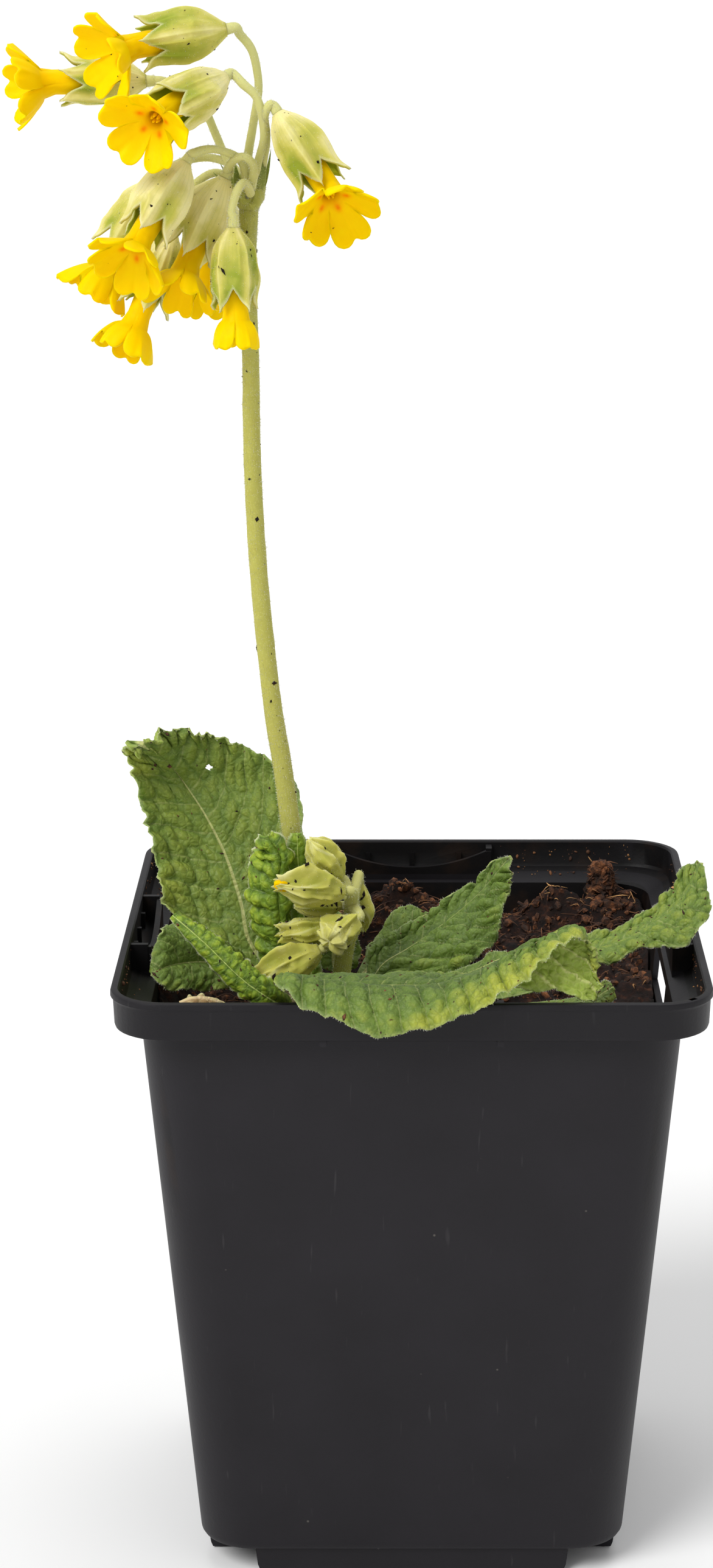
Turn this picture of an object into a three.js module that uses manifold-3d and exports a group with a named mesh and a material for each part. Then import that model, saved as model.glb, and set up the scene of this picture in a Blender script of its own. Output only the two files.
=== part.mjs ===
// A potted cowslip (Primula veris): a square nursery pot of peat with a rosette of crinkled leaves,
// one tall stalk with nodding flowers and one short stalk with closed buds.
// Millimetres, +Z up, front towards -Y. The origin is the middle of the pot's foot, on the table.
import * as THREE from 'three';
import Module from 'manifold-3d';

const wasm = await Module();
wasm.setup();

// The pot: a 90 mm square nursery pot, its sides alike
const POT_TOP = 98;            // height of the rim above the table
const RIM_HALF = 45;           // half of the outline at the rim
const RIM_BAND_BOTTOM = 92;    // the wider band under the lip starts here
const RIM_BAND_HALF = 44.5;
const RIM_INSIDE_HALF = 43.7;
const BODY_HALF_TOP = 40.83;   // the tapered body just under the band
const BODY_HALF_BOTTOM = 33.4;
const BODY_BOTTOM = 4.3;       // underside of the base plate
const WALL = 1.0;
const FLOOR = 1.5;
const CORNER = 8.5;            // radius of the upright corners
const LEDGE_LOW = 91.7;        // inside, the wall steps out under the rim
const LEDGE_HIGH = 93.8;
const FOOT_HALF_LENGTH = 24;   // each side stands on one straight bar
const FOOT_OUTER = 32.4;
const FOOT_INNER = 26.4;
const FOOT_CHAMFER = 1.2;
const DISC_RADIUS = 7;         // round standing disc in the middle of the base plate
const POCKET_HALF = 13.5;      // label pocket in the middle of each side
const POCKET_FACE = 41;
const POCKET_PLATE = 0.9;
const POCKET_TOP = 97;
const POCKET_SAG = 2.8;        // depth of the hollow in its top edge
const POCKET_RIBS = [-8, 0, 7.5];
const SLOT_HALF = 11.8;        // see-through slot under the side pockets
const SLOT_LOW = 83.6;
const SLOT_HIGH = 90;
const DRAIN_MIDDLES = [-12, 12];
const DRAIN_HALF = 5;
const DRAIN_NEAR = 19;
const DRAIN_FAR = 23;

// The peat and the rootstock
const SOIL_GAP = 0.35;
const SOIL_MIDDLE = 84.3;      // height of the peat in the middle of the pot
const CROWN = [-14.5, -3];     // axis of the rootstock
const CROWN_RADIUS = 8.8;
const CROWN_TOP = 86;
const CROWN_LOW = 68.4;
const CROWN_GAP = 0.7;
const CROWN_SIDES = 16;

// The plant
const LEAF_THICKNESS = 0.75;
const CALYX_CUP = 9.3;         // from the pedicel to the notches between the teeth
const CALYX_TOOTH = 3.7;
const CALYX_RADIUS = 3.8;
const CALYX_WALL = 0.75;
const CALYX_FLOOR = 2.2;
const TUBE_START = 3;          // the corolla's tube starts this far inside the calyx
const TUBE_RADIUS = 1.1;
const THROAT_RADIUS = 1.6;
const PETAL_THICKNESS = 0.65;
const SEAT_GAP = 0.4;          // between a pedicel's end and its calyx or bud

// Colours
const plastic = { color: 0x37363a, roughness: 0.6 };
const peat = { color: 0x3b2418, roughness: 0.95 };
const root = { color: 0x9a8f62, roughness: 0.9 };
const stem = { color: 0xb4b760, roughness: 0.7 };
const calyxGreen = { color: 0xc3cb84, roughness: 0.75 };
const petalYellow = { color: 0xf6c913, roughness: 0.6 };
const leafGreen = { color: 0x6d8f43, roughness: 0.65 };
const youngGreen = { color: 0x86ac2c, roughness: 0.65 };
const dryTan = { color: 0xcbb089, roughness: 0.85 };

const part = new THREE.Group();
const v = (x, y, z) => new THREE.Vector3(x, y, z);
const mix = (a, b, t) => a + (b - a) * t;
const clamp01 = (x) => Math.min(Math.max(x, 0), 1);
const toPoints = (list) => list.map((p) => v(...p));
const curveOf = (list) => new THREE.CatmullRomCurve3(toPoints(list), false, 'catmullrom', 0.5);

function tableAt(keys, values, x) {
  const i = keys.findIndex((key) => x <= key);
  if (i < 0) return values[values.length - 1];
  if (i === 0) return values[0];
  return mix(values[i - 1], values[i], (x - keys[i - 1]) / (keys[i] - keys[i - 1]));
}

// The photograph's camera, fitted to the pot's rim and foot: how far it stands in front of the pot's middle and
// above the table, how far it looks down, its focal length in pixels and the pixel that it aims at.
const CAMERA = {
  distance: 545, height: 264, pitch: THREE.MathUtils.degToRad(14.84), focal: 5887.4, u: 677, v: 1288,
};

// Points of the plant picked by eye: each shows at pixel u, v of the photograph and lies y behind the pot's
// middle.
function spot(u, v, y) {
  const right = (u - CAMERA.u) / CAMERA.focal;
  const up = (CAMERA.v - v) / CAMERA.focal;
  const cos = Math.cos(CAMERA.pitch);
  const sin = Math.sin(CAMERA.pitch);
  const reach = (y + CAMERA.distance) / (cos + sin * up);
  return [right * reach, y, CAMERA.height + (cos * up - sin) * reach];
}
const seen = (...pixels) => pixels.map((p) => spot(...p));

// Closed bodies from points and triangles
class Body {
  constructor() {
    this.points = [];
    this.faces = [];
  }

  add(p) {
    this.points.push(p.x, p.y, p.z);
    return this.points.length / 3 - 1;
  }

  tri(a, b, c) {
    this.faces.push(a, b, c);
  }

  quad(a, b, c, d) {
    this.tri(a, b, c);
    this.tri(a, c, d);
  }

  // joins rings of equal count, one to the next
  band(rings) {
    const n = rings[0].length;
    for (let r = 0; r + 1 < rings.length; r++) {
      for (let i = 0; i < n; i++) {
        const j = (i + 1) % n;
        this.quad(rings[r][i], rings[r][j], rings[r + 1][j], rings[r + 1][i]);
      }
    }
  }

  // closes the first and the last ring of a band on one point each
  caps(first, last, low, high) {
    const n = first.length;
    for (let i = 0; i < n; i++) {
      const j = (i + 1) % n;
      this.tri(low, first[j], first[i]);
      this.tri(high, last[i], last[j]);
    }
  }

  // the enclosed volume, negative where the faces point inwards
  volume() {
    const point = (i) => v(this.points[3 * i], this.points[3 * i + 1], this.points[3 * i + 2]);
    let sum = 0;
    for (let i = 0; i < this.faces.length; i += 3) {
      sum += point(this.faces[i]).dot(point(this.faces[i + 1]).cross(point(this.faces[i + 2])));
    }
    return sum / 6;
  }

  outward() {
    if (this.volume() < 0) {
      for (let i = 0; i < this.faces.length; i += 3) {
        [this.faces[i + 1], this.faces[i + 2]] = [this.faces[i + 2], this.faces[i + 1]];
      }
    }
    return this;
  }

  solid() {
    this.outward();
    const vertProperties = new Float32Array(this.points);
    const triVerts = new Uint32Array(this.faces);
    return new wasm.Manifold(new wasm.Mesh({ numProp: 3, vertProperties, triVerts }));
  }

  geometry() {
    this.outward();
    const g = new THREE.BufferGeometry();
    g.setAttribute('position', new THREE.Float32BufferAttribute(this.points, 3));
    g.setIndex(this.faces);
    return g;
  }
}

function geometryOf(solid) {
  const mesh = solid.getMesh();
  const g = new THREE.BufferGeometry();
  g.setAttribute('position', new THREE.Float32BufferAttribute(mesh.vertProperties, 3));
  g.setIndex(Array.from(mesh.triVerts));
  return g;
}

function node(name, geometry, look) {
  const mesh = new THREE.Mesh(geometry, new THREE.MeshStandardMaterial({ ...look, metalness: 0 }));
  mesh.name = name;
  part.add(mesh);
}

// rings of points joined one to the next; each end closes on its own middle
function loft(rings) {
  const body = new Body();
  const index = rings.map((ring) => ring.map((p) => body.add(p)));
  const middle = (ring) => ring.reduce((sum, p) => sum.add(p), v(0, 0, 0)).divideScalar(ring.length);
  const low = body.add(middle(rings[0]));
  const high = body.add(middle(rings[rings.length - 1]));
  body.band(index);
  body.caps(index[0], index[index.length - 1], low, high);
  return body;
}

function boxSolid(x0, x1, y0, y1, z0, z1) {
  const ring = (z) => [v(x0, y0, z), v(x1, y0, z), v(x1, y1, z), v(x0, y1, z)];
  return loft([ring(z0), ring(z1)]).solid();
}

function circle(x, y, z, radius, sides) {
  return Array.from({ length: sides }, (_, i) => {
    const a = (i / sides) * 2 * Math.PI;
    return v(x + radius * Math.cos(a), y + radius * Math.sin(a), z);
  });
}

// a square outline with rounded corners, at one height
function squareRing(half, corner, z) {
  const steps = 3;
  const ring = [];
  for (let k = 0; k < 4; k++) {
    const cx = (k === 0 || k === 3 ? 1 : -1) * (half - corner);
    const cy = (k < 2 ? 1 : -1) * (half - corner);
    for (let i = 0; i <= steps; i++) {
      const a = (k + i / steps) * (Math.PI / 2);
      ring.push(v(cx + corner * Math.cos(a), cy + corner * Math.sin(a), z));
    }
  }
  return ring;
}

// half of the body's width at a height, on its straight taper
function bodyHalf(z) {
  const low = BODY_BOTTOM + 1;
  return mix(BODY_HALF_BOTTOM, BODY_HALF_TOP, (z - low) / (RIM_BAND_BOTTOM - low));
}

// the four sides of the pot are alike: turn a solid by quarter turns
const quarter = (solid, k) => solid.rotate([0, 0, 90 * k]);

function potShell() {
  const outside = loft([
    squareRing(BODY_HALF_BOTTOM - 1, CORNER - 1, BODY_BOTTOM),
    squareRing(BODY_HALF_BOTTOM, CORNER, BODY_BOTTOM + 1),
    squareRing(BODY_HALF_TOP, CORNER, RIM_BAND_BOTTOM),
    squareRing(RIM_BAND_HALF - 0.6, CORNER - 0.6, RIM_BAND_BOTTOM),
    squareRing(RIM_BAND_HALF, CORNER, RIM_BAND_BOTTOM + 0.7),
    squareRing(RIM_HALF - 0.2, CORNER, POT_TOP - 1.3),
    squareRing(RIM_HALF, CORNER, POT_TOP - 0.9),
    squareRing(RIM_HALF, CORNER, POT_TOP - 0.3),
    squareRing(RIM_HALF - 0.3, CORNER - 0.3, POT_TOP),
  ]).solid();
  const inside = loft([
    squareRing(bodyHalf(BODY_BOTTOM + FLOOR) - WALL, CORNER - WALL, BODY_BOTTOM + FLOOR),
    squareRing(bodyHalf(LEDGE_LOW) - WALL, CORNER - WALL, LEDGE_LOW),
    squareRing(RIM_INSIDE_HALF - 0.1, CORNER - WALL, LEDGE_HIGH),
    squareRing(RIM_INSIDE_HALF, CORNER - WALL, POT_TOP + 1),
  ]).solid();
  return outside.subtract(inside);
}

// a straight bar under the front wall, a little narrower where it stands
function foot() {
  const ring = (inset, z) => {
    const x = FOOT_HALF_LENGTH + 0.6 - inset;
    const near = FOOT_INNER + inset * 0.4;
    const far = FOOT_OUTER - inset;
    return [v(-x, -far, z), v(x, -far, z), v(x, -near, z), v(-x, -near, z)];
  };
  return loft([ring(1.4, 0), ring(0.4, FOOT_CHAMFER), ring(0, BODY_BOTTOM + 0.5)]).solid();
}

// label pocket: a plate with a hollowed top edge, two ends, and ribs on the wall behind it
function pocket() {
  const low = LEDGE_LOW - 0.6;
  const face = -POCKET_FACE;
  const wall = -RIM_INSIDE_HALF - 0.3;
  const reach = POCKET_HALF - 1;
  const radius = (reach ** 2 + POCKET_SAG ** 2) / (2 * POCKET_SAG);
  const dip = [];
  const steps = 8;
  for (let i = 0; i <= steps; i++) {
    const a = mix(-1, 1, i / steps) * Math.asin(reach / radius);
    dip.push([radius * Math.sin(a), POCKET_TOP - POCKET_SAG + radius * (1 - Math.cos(a))]);
  }
  const above = POCKET_TOP + 2;
  const hollow = (y) => [...dip.map(([x, z]) => v(x, y, z)), v(reach, y, above), v(-reach, y, above)];
  let solid = boxSolid(-POCKET_HALF, POCKET_HALF, face - 0.4, face - 0.4 + POCKET_PLATE, low, POCKET_TOP)
    .subtract(loft([hollow(face - 2), hollow(face + 2)]).solid());
  for (const side of [-1, 1]) {
    const x = side * (POCKET_HALF - 0.4);
    solid = solid.add(boxSolid(x - 0.5, x + 0.5, wall, face, low, POT_TOP - 0.6));
  }
  for (const x of POCKET_RIBS) {
    solid = solid.add(boxSolid(x - 0.4, x + 0.4, wall, wall + 1, LEDGE_HIGH - 0.6, POCKET_TOP - 1));
  }
  return solid;
}

function makePot() {
  let pot = potShell();
  const slot = boxSolid(-SLOT_HALF, SLOT_HALF, -RIM_INSIDE_HALF, -BODY_HALF_TOP + 3, SLOT_LOW, SLOT_HIGH);
  for (let k = 0; k < 4; k++) {
    pot = pot.add(quarter(foot(), k)).add(quarter(pocket(), k));
    if (k % 2 === 1) pot = pot.subtract(quarter(slot, k));
    for (const x of DRAIN_MIDDLES) {
      const drain = boxSolid(x - DRAIN_HALF, x + DRAIN_HALF, -DRAIN_FAR, -DRAIN_NEAR,
        BODY_BOTTOM - 1, BODY_BOTTOM + FLOOR + 1);
      pot = pot.subtract(quarter(drain, k));
    }
  }
  const disc = (z) => circle(0, 0, z, DISC_RADIUS, 20);
  return pot.add(loft([disc(0), disc(BODY_BOTTOM + 0.5)]).solid());
}
node('pot', geometryOf(makePot()), plastic);

// The peat: a heap at the back, clumps at the back right and a hollow at the front right
const bump = (x, y, cx, cy, rx, ry) => Math.exp(-(((x - cx) / rx) ** 2) - (((y - cy) / ry) ** 2));
function soilHeight(x, y) {
  return SOIL_MIDDLE + 0.07 * y
    + 7.0 * bump(x, y, -1, 28, 9, 7)
    + 5.0 * bump(x, y, 34, 35, 8, 6)
    + 1.0 * bump(x, y, CROWN[0], CROWN[1], 13, 13)
    - 5.5 * bump(x, y, 30, -20, 18, 20)
    + 0.5 * Math.sin(x * 0.61 + 1.3) * Math.sin(y * 0.53 + 0.4);
}

// everything below the peat's surface, as far as the table
function groundBlock() {
  const cells = 11;
  const reach = 41;
  const body = new Body();
  const steps = Array.from({ length: cells + 1 }, (_, i) => mix(-reach, reach, i / cells));
  const layer = (height) => steps.map((x) => steps.map((y) => body.add(v(x, y, height(x, y)))));
  const top = layer(soilHeight);
  const bottom = layer(() => 0);
  for (let i = 0; i < cells; i++) {
    for (let j = 0; j < cells; j++) {
      body.quad(top[i][j], top[i + 1][j], top[i + 1][j + 1], top[i][j + 1]);
      body.quad(bottom[i][j], bottom[i][j + 1], bottom[i + 1][j + 1], bottom[i + 1][j]);
    }
    body.quad(bottom[i][0], bottom[i + 1][0], top[i + 1][0], top[i][0]);
    body.quad(top[i][cells], top[i + 1][cells], bottom[i + 1][cells], bottom[i][cells]);
    body.quad(top[0][i], top[0][i + 1], bottom[0][i + 1], bottom[0][i]);
    body.quad(bottom[cells][i], bottom[cells][i + 1], top[cells][i + 1], top[cells][i]);
  }
  return body.solid();
}

function makeSoil() {
  const half = (z) => bodyHalf(z) - WALL - SOIL_GAP;
  const low = BODY_BOTTOM + FLOOR + SOIL_GAP;
  const filling = loft([
    squareRing(half(low), CORNER - WALL, low),
    squareRing(half(LEDGE_LOW) - 0.1, CORNER - WALL, LEDGE_LOW - 0.2),
    squareRing(half(LEDGE_LOW) - 0.1, CORNER - WALL, POT_TOP),
  ]).solid();
  const ring = (z) => circle(CROWN[0], CROWN[1], z, CROWN_RADIUS + CROWN_GAP, CROWN_SIDES);
  const hole = loft([ring(CROWN_LOW - 0.4), ring(POT_TOP + 2)]).solid();
  return filling.intersect(groundBlock()).subtract(hole);
}
node('peat', geometryOf(makeSoil()), peat);

// The rootstock, standing in its hole in the peat
const crownRing = (radius, z) => circle(CROWN[0], CROWN[1], z, radius, CROWN_SIDES);
node('rootstock', loft([
  crownRing(CROWN_RADIUS * 0.55, CROWN_LOW),
  crownRing(CROWN_RADIUS * 0.9, CROWN_LOW + 5.6),
  crownRing(CROWN_RADIUS, CROWN_TOP - 1.4),
  crownRing(CROWN_RADIUS - 0.5, CROWN_TOP),
]).geometry(), root);

// a round rod along a smooth curve, its radius given at even steps
function rod(path, radii, sides, steps) {
  const curve = curveOf(path);
  const across = v(0, 1, 0.01);
  const rings = [];
  for (let k = 0; k <= steps; k++) {
    const t = k / steps;
    const tangent = curve.getTangent(t);
    across.addScaledVector(tangent, -across.dot(tangent)).normalize();
    const other = tangent.clone().cross(across);
    const f = t * (radii.length - 1);
    const i = Math.min(Math.floor(f), radii.length - 2);
    const radius = mix(radii[i], radii[i + 1], f - i);
    rings.push(circle(0, 0, 0, radius, sides).map((p) => curve.getPoint(t)
      .addScaledVector(across, p.x).addScaledVector(other, p.y)));
  }
  return loft(rings).solid();
}

// a narrow pointed bract at the umbel
function bract(at, aim, length) {
  const width = 0.8;
  const d = v(...aim).normalize();
  const side = d.clone().cross(v(0, 0, 1)).normalize();
  const out = side.clone().cross(d);
  const section = [[1, 0], [0, 0.55], [-1, 0], [0, -0.55]];
  const ring = (t, w) => section.map(([a, b]) => v(...at).addScaledVector(d, length * t)
    .addScaledVector(side, w * a).addScaledVector(out, w * b + 0.5 * t * t));
  return loft([ring(0, width * 0.8), ring(0.4, width), ring(1, 0.12)]).solid();
}

// The tall stalk with its umbel
const UMBEL = [-24.6, 0, 212.6];
const TALL_STALK = [
  [-18.4, -0.6, 86.3],
  ...seen([484, 1560, 0], [483, 1470, 0], [479, 1370, 0], [463, 1250, 0], [447, 1150, 0], [426, 950, 0],
    [415, 760, 0], [412, 600, 0], [408, 470, 0], [408, 380, 0]),
  [-24.5, 0, 212.5],
];
const TALL_RADII = [1.65, 1.6, 1.55, 1.5, 1.4, 1.35, 1.3, 1.3, 1.6];
const KNOB_RADII = [1.3, 2.4, 2.6, 1.9, 0.8];
const PEDICEL_RADII = [0.8, 0.72, 0.65, 0.65, 0.7, 0.8];

// The flowers: where the calyx meets its pedicel; the way (x, y, z) that the calyx points and that the open
// face points; how far the petals open, in degrees, at the throat and at the tip; the overall size; the turn
// about the axis; the tube that shows beyond the calyx; the petal's length; and the pedicel's way from the umbel.
const FLOWERS = {
  a: {
    base: spot(372, 48, -1), aim: [-0.975, -0.1, -0.16], face: [-0.8, -0.52, -0.3], open: [64, 38],
    size: 1.02, roll: 10, tube: 6.3, petal: 6.7,
    pedicel: seen([406, 318, 1], [407, 262, 1], [416, 205, 2], [425, 140, 2], [415, 85, 1], [394, 56, 0]),
  },
  b: {
    base: spot(240, 133, 6), aim: [-0.99, -0.05, 0], face: [-0.97, -0.2, -0.12], open: [62, 26],
    size: 1, roll: 30, tube: 6.2, petal: 6.7,
    pedicel: seen([398, 316, 2], [384, 285, 5], [366, 248, 8], [352, 215, 9], [336, 180, 9], [305, 146, 8],
      [270, 134, 6]),
  },
  c: {
    base: spot(370, 127, -6), aim: [-0.7, -0.62, -0.35], face: [-0.36, -0.84, -0.4], open: [64, 38],
    size: 1.02, roll: 0, tube: 5.7, petal: 6.5,
    pedicel: seen([416, 318, -1], [424, 268, -3], [434, 222, -5], [424, 165, -6], [400, 138, -6]),
  },
  d: {
    base: spot(457, 186, -6), aim: [0.56, -0.22, -0.8], face: [0.28, -0.7, -0.66], open: [62, 36],
    size: 1.02, roll: 20, tube: 5.6, petal: 6.6,
    pedicel: [...seen([421, 312, 0], [432, 270, -2], [438, 226, -4]), [-21.9, -5.6, 223.4], [-21.3, -6, 225]],
  },
  e: {
    base: spot(258, 298, 7), aim: [-0.52, 0, -0.85], face: [-0.5, -0.15, -0.85], open: [56, 24],
    size: 0.98, roll: 15, tube: 6.3, petal: 6.5,
    pedicel: seen([398, 308, 4], [385, 276, 6], [352, 260, 9], [312, 262, 9], [280, 276, 8]),
  },
  f: {
    base: spot(305, 268, -9), aim: [-0.5, -0.32, -0.8], face: [-0.36, -0.6, -0.71], open: [62, 34],
    size: 1, roll: 36, tube: 5.6, petal: 6.5,
    pedicel: seen([408, 308, -3], [397, 266, -5], [372, 250, -7], [345, 245, -8], [320, 251, -9]),
  },
  g: {
    base: spot(284, 386, 1.5), aim: [-0.4, -0.05, -0.91], face: [-0.4, -0.25, -0.9], open: [48, 14],
    size: 0.94, roll: 0, tube: 6.2, petal: 5.9,
    pedicel: seen([398, 320, 3], [385, 296, 4], [352, 284, 4], [318, 306, 3], [296, 348, 2]),
  },
  h: {
    base: spot(370, 293, -4.5), aim: [-0.42, -0.1, -0.9], face: [-0.26, -0.45, -0.86], open: [58, 28],
    size: 1, roll: 25, tube: 6, petal: 6.4,
    pedicel: seen([414, 304, -4], [417, 274, -6], [403, 258, -7], [386, 262, -6.5], [374, 278, -5]),
  },
  i: {
    base: [-26.4, -12, 207.9], aim: [0.02, -0.03, -0.99], face: [0, -0.06, -0.99], open: [34, 0],
    size: 0.94, roll: 20, tube: 4.6, petal: 5.4,
    pedicel: [[-24.2, -4, 212.2], [-24.9, -7.4, 214], [-25.8, -10.6, 213.2], [-26.6, -11.7, 210.4]],
  },
  j: {
    base: spot(372, 322, 8.5), aim: [-0.26, 0.24, -0.94], face: [-0.28, 0.2, -0.93], open: [50, 18],
    size: 0.88, roll: 50, tube: 6.2, petal: 5.6,
    pedicel: seen([402, 306, 5], [396, 288, 7.5], [385, 290, 9], [376, 304, 9]),
  },
};

// The bracts under the umbel: where each starts, the way it points and its length
const BRACTS = [
  [[-25.5, -1.5, 213], [-0.5, -0.6, 0.8], 4.5],
  [[-23.4, -1.2, 213], [0.5, -0.5, 0.9], 4.5],
  [[-26, 1, 213], [-0.9, 0.3, 0.5], 4],
  [[-23.4, 1, 213], [0.5, 0.5, 0.9], 5],
  [[-24.8, 1.6, 213], [0, 0.8, 0.7], 4],
];

function makeTallStalk() {
  const [x, y, z] = UMBEL;
  let stalk = rod(TALL_STALK, TALL_RADII, 9, 20)
    .add(rod([[x, y, z - 3.6], UMBEL, [x + 0.1, y + 0.3, z + 2.6]], KNOB_RADII, 9, 5));
  for (const flower of Object.values(FLOWERS)) {
    const aim = v(...flower.aim).normalize();
    const end = v(...flower.base).addScaledVector(aim, -SEAT_GAP);
    const near = end.clone().addScaledVector(aim, -1);
    const path = [[x, y, z - 0.8], ...flower.pedicel, near.toArray(), end.toArray()];
    stalk = stalk.add(rod(path, PEDICEL_RADII, 5, 9));
  }
  for (const [at, aim, length] of BRACTS) stalk = stalk.add(bract(at, aim, length));
  return stalk;
}
node('tall_stalk', geometryOf(makeTallStalk()), stem);

// The short stalk's buds: how far above the stalk's top the pedicel starts, where it meets the bud, the bud's
// tip and its radius
const BUDS = {
  1: { from: 0, base: [-10.6, -9.4, 104.8], tip: [-21.5, -12.8, 107], radius: 3.3 },
  2: { from: 0, base: [-11.2, -4.2, 105.6], tip: [-16.2, -5.4, 112.3], radius: 2.8 },
  3: { from: 0, base: [-11.2, -4.6, 101], tip: [-18.6, -7.6, 101.8], radius: 1.8 },
  4: { from: -1.2, base: [-11.4, -8.6, 98.8], tip: [-21.6, -12.2, 98.8], radius: 2.0 },
  5: { from: -4.8, base: [-14.4, -13.2, 96.4], tip: [-26.1, -16.2, 91.2], radius: 2.7 },
  6: { from: 0, base: [-8.9, -11, 100.6], tip: [-12.1, -17, 98.2], radius: 2.5 },
  7: { from: 0, base: [-8.3, -1.8, 103.8], tip: [-7.6, -1.4, 95.6], radius: 2.1 },
};
const SHORT_TOP = [-9.5, -5.6, 101.4];
const SHORT_STALK = [
  [-11.5, -6, 86.3], ...seen([563, 1590, -6], [572, 1534, -6]), [-9.4, -5.6, 100.4], [-9.6, -5.6, 102.6],
];

function makeShortStalk() {
  let stalk = rod(SHORT_STALK, [1.45, 1.4, 1.35, 1.3, 1.0], 10, 8);
  const [x, y, z] = SHORT_TOP;
  for (const bud of Object.values(BUDS)) {
    const base = v(...bud.base);
    const aim = v(...bud.tip).sub(base).normalize();
    const end = base.clone().addScaledVector(aim, -SEAT_GAP);
    const bend = end.clone().addScaledVector(aim, -1);
    stalk = stalk.add(rod([[x, y, z + bud.from], bend.toArray(), end.toArray()], [0.95, 0.8, 0.7], 5, 5));
  }
  return stalk;
}
node('short_stalk', geometryOf(makeShortStalk()), stem);

// axes with z along the given way, turned by roll about it
function axesAlong(aim, roll) {
  const z = v(...aim).normalize();
  const ref = Math.abs(z.z) < 0.95 ? v(0, 0, 1) : v(0, 1, 0);
  const a = THREE.MathUtils.degToRad(roll);
  const x = ref.clone().cross(z).normalize();
  const y = z.clone().cross(x);
  return { x: x.clone().applyAxisAngle(z, a), y: y.clone().applyAxisAngle(z, a), z };
}
const inAxes = (axes, origin, x, y, z) => origin.clone()
  .addScaledVector(axes.x, x).addScaledVector(axes.y, y).addScaledVector(axes.z, z);

// a calyx's radius, as a share of its widest, by height as a share of the cup
const CALYX_HEIGHTS = [0, 0.06, 0.2, 0.45, 0.75, 1, 1.2, 1.4];
const CALYX_SHAPE = [0.26, 0.42, 0.72, 0.95, 1, 0.98, 0.93, 0.98];
// 0 on the line of a tooth or petal, 1 halfway to the next one
const fifth = (a) => Math.abs((((a * 5) / (2 * Math.PI) + 0.5) % 1) - 0.5) * 2;

// an inflated five-angled bell, open at the mouth, with five pointed teeth
function makeCalyx(flower) {
  const k = flower.size;
  const axes = axesAlong(flower.aim, flower.roll);
  const origin = v(...flower.base);
  const sides = 20;
  const body = new Body();
  const ring = (share, wall, start) => Array.from({ length: sides }, (_, i) => {
    const a = (i / sides) * 2 * Math.PI;
    const top = (CALYX_CUP + CALYX_TOOTH * (1 - fifth(a)) ** 0.9) * k;
    const z = mix(start, top, share);
    const h = z / (CALYX_CUP * k);
    const angle = 1 - Math.abs(Math.sin(2.5 * a));
    const swell = 1 + 0.13 * (angle - 0.35) * Math.min(h * 3, 1);
    const r = CALYX_RADIUS * k * tableAt(CALYX_HEIGHTS, CALYX_SHAPE, h) * swell - wall;
    return body.add(inAxes(axes, origin, r * Math.cos(a), r * Math.sin(a), z));
  });
  const start = CALYX_FLOOR * k;
  const outer = [0, 0.2, 0.6, 1].map((share) => ring(share, 0, 0));
  const inner = [1, 0.5, 0].map((share) => ring(share, CALYX_WALL, start));
  body.band([...outer, ...inner]);
  body.caps(outer[0], inner[inner.length - 1], body.add(origin), body.add(inAxes(axes, origin, 0, 0, start)));
  return body.geometry();
}

// a petal's reach, as a share of its length, from its middle line to the cut between two petals
const PETAL_TURNS = [0, 0.12, 0.4, 0.75, 0.9, 1];
const PETAL_REACH = [0.86, 0.93, 1, 0.9, 0.72, 0.5];

// five heart-shaped petals that open from a tube
function makeCorolla(flower) {
  const k = flower.size;
  const low = axesAlong(flower.aim, flower.roll);
  const high = axesAlong(flower.face, flower.roll);
  const base = v(...flower.base);
  const mouth = base.clone().addScaledVector(low.z, CALYX_CUP * k);
  const lean = low.z.clone().multiplyScalar(0.6).addScaledVector(high.z, 0.4).normalize();
  const throat = mouth.clone().addScaledVector(lean, flower.tube);
  const sides = 30;
  const body = new Body();
  const angles = Array.from({ length: sides }, (_, i) => (i / sides) * 2 * Math.PI);
  const [b0, b1] = flower.open.map(THREE.MathUtils.degToRad);
  // the petal's middle surface is an arc from b0 to b1; lift steps off it along its own normal
  const limb = (share, lift) => angles.map((a) => {
    const beta = b0 + (b1 - b0) * share * tableAt(PETAL_TURNS, PETAL_REACH, fifth(a));
    const bow = flower.petal / (b1 - b0);
    const r = THROAT_RADIUS * k + (Math.cos(b0) - Math.cos(beta)) * bow - lift * Math.cos(beta);
    const z = (Math.sin(beta) - Math.sin(b0)) * bow + lift * Math.sin(beta);
    return body.add(inAxes(high, throat, r * Math.cos(a), r * Math.sin(a), z));
  });
  const collar = (centre, axes, radius) => angles.map((a) => body.add(
    inAxes(axes, centre, radius * Math.cos(a), radius * Math.sin(a), 0)));
  const half = PETAL_THICKNESS / 2;
  const foot = base.clone().addScaledVector(low.z, TUBE_START * k);
  const funnel = throat.clone().addScaledVector(high.z, -THROAT_RADIUS * k);
  const rings = [
    collar(foot, low, TUBE_RADIUS * k), collar(funnel, high, (THROAT_RADIUS + 0.3) * k),
    limb(0.5, -half), limb(1, -half), limb(1, half), limb(0.5, half), limb(0, half),
  ];
  const pit = body.add(throat.clone().addScaledVector(high.z, -0.9 * k));
  body.band(rings);
  body.caps(rings[0], rings[rings.length - 1], body.add(foot), pit);
  return body.geometry();
}

for (const [name, flower] of Object.entries(FLOWERS)) {
  node(`calyx_${name}`, makeCalyx(flower), calyxGreen);
  node(`corolla_${name}`, makeCorolla(flower), petalYellow);
}

// a bud's radius, as a share of its widest, along its length
const BUD_HEIGHTS = [0, 0.1, 0.3, 0.6, 0.84, 1];
const BUD_SHAPE = [0.3, 0.6, 0.95, 1, 0.62, 0.1];

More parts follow.
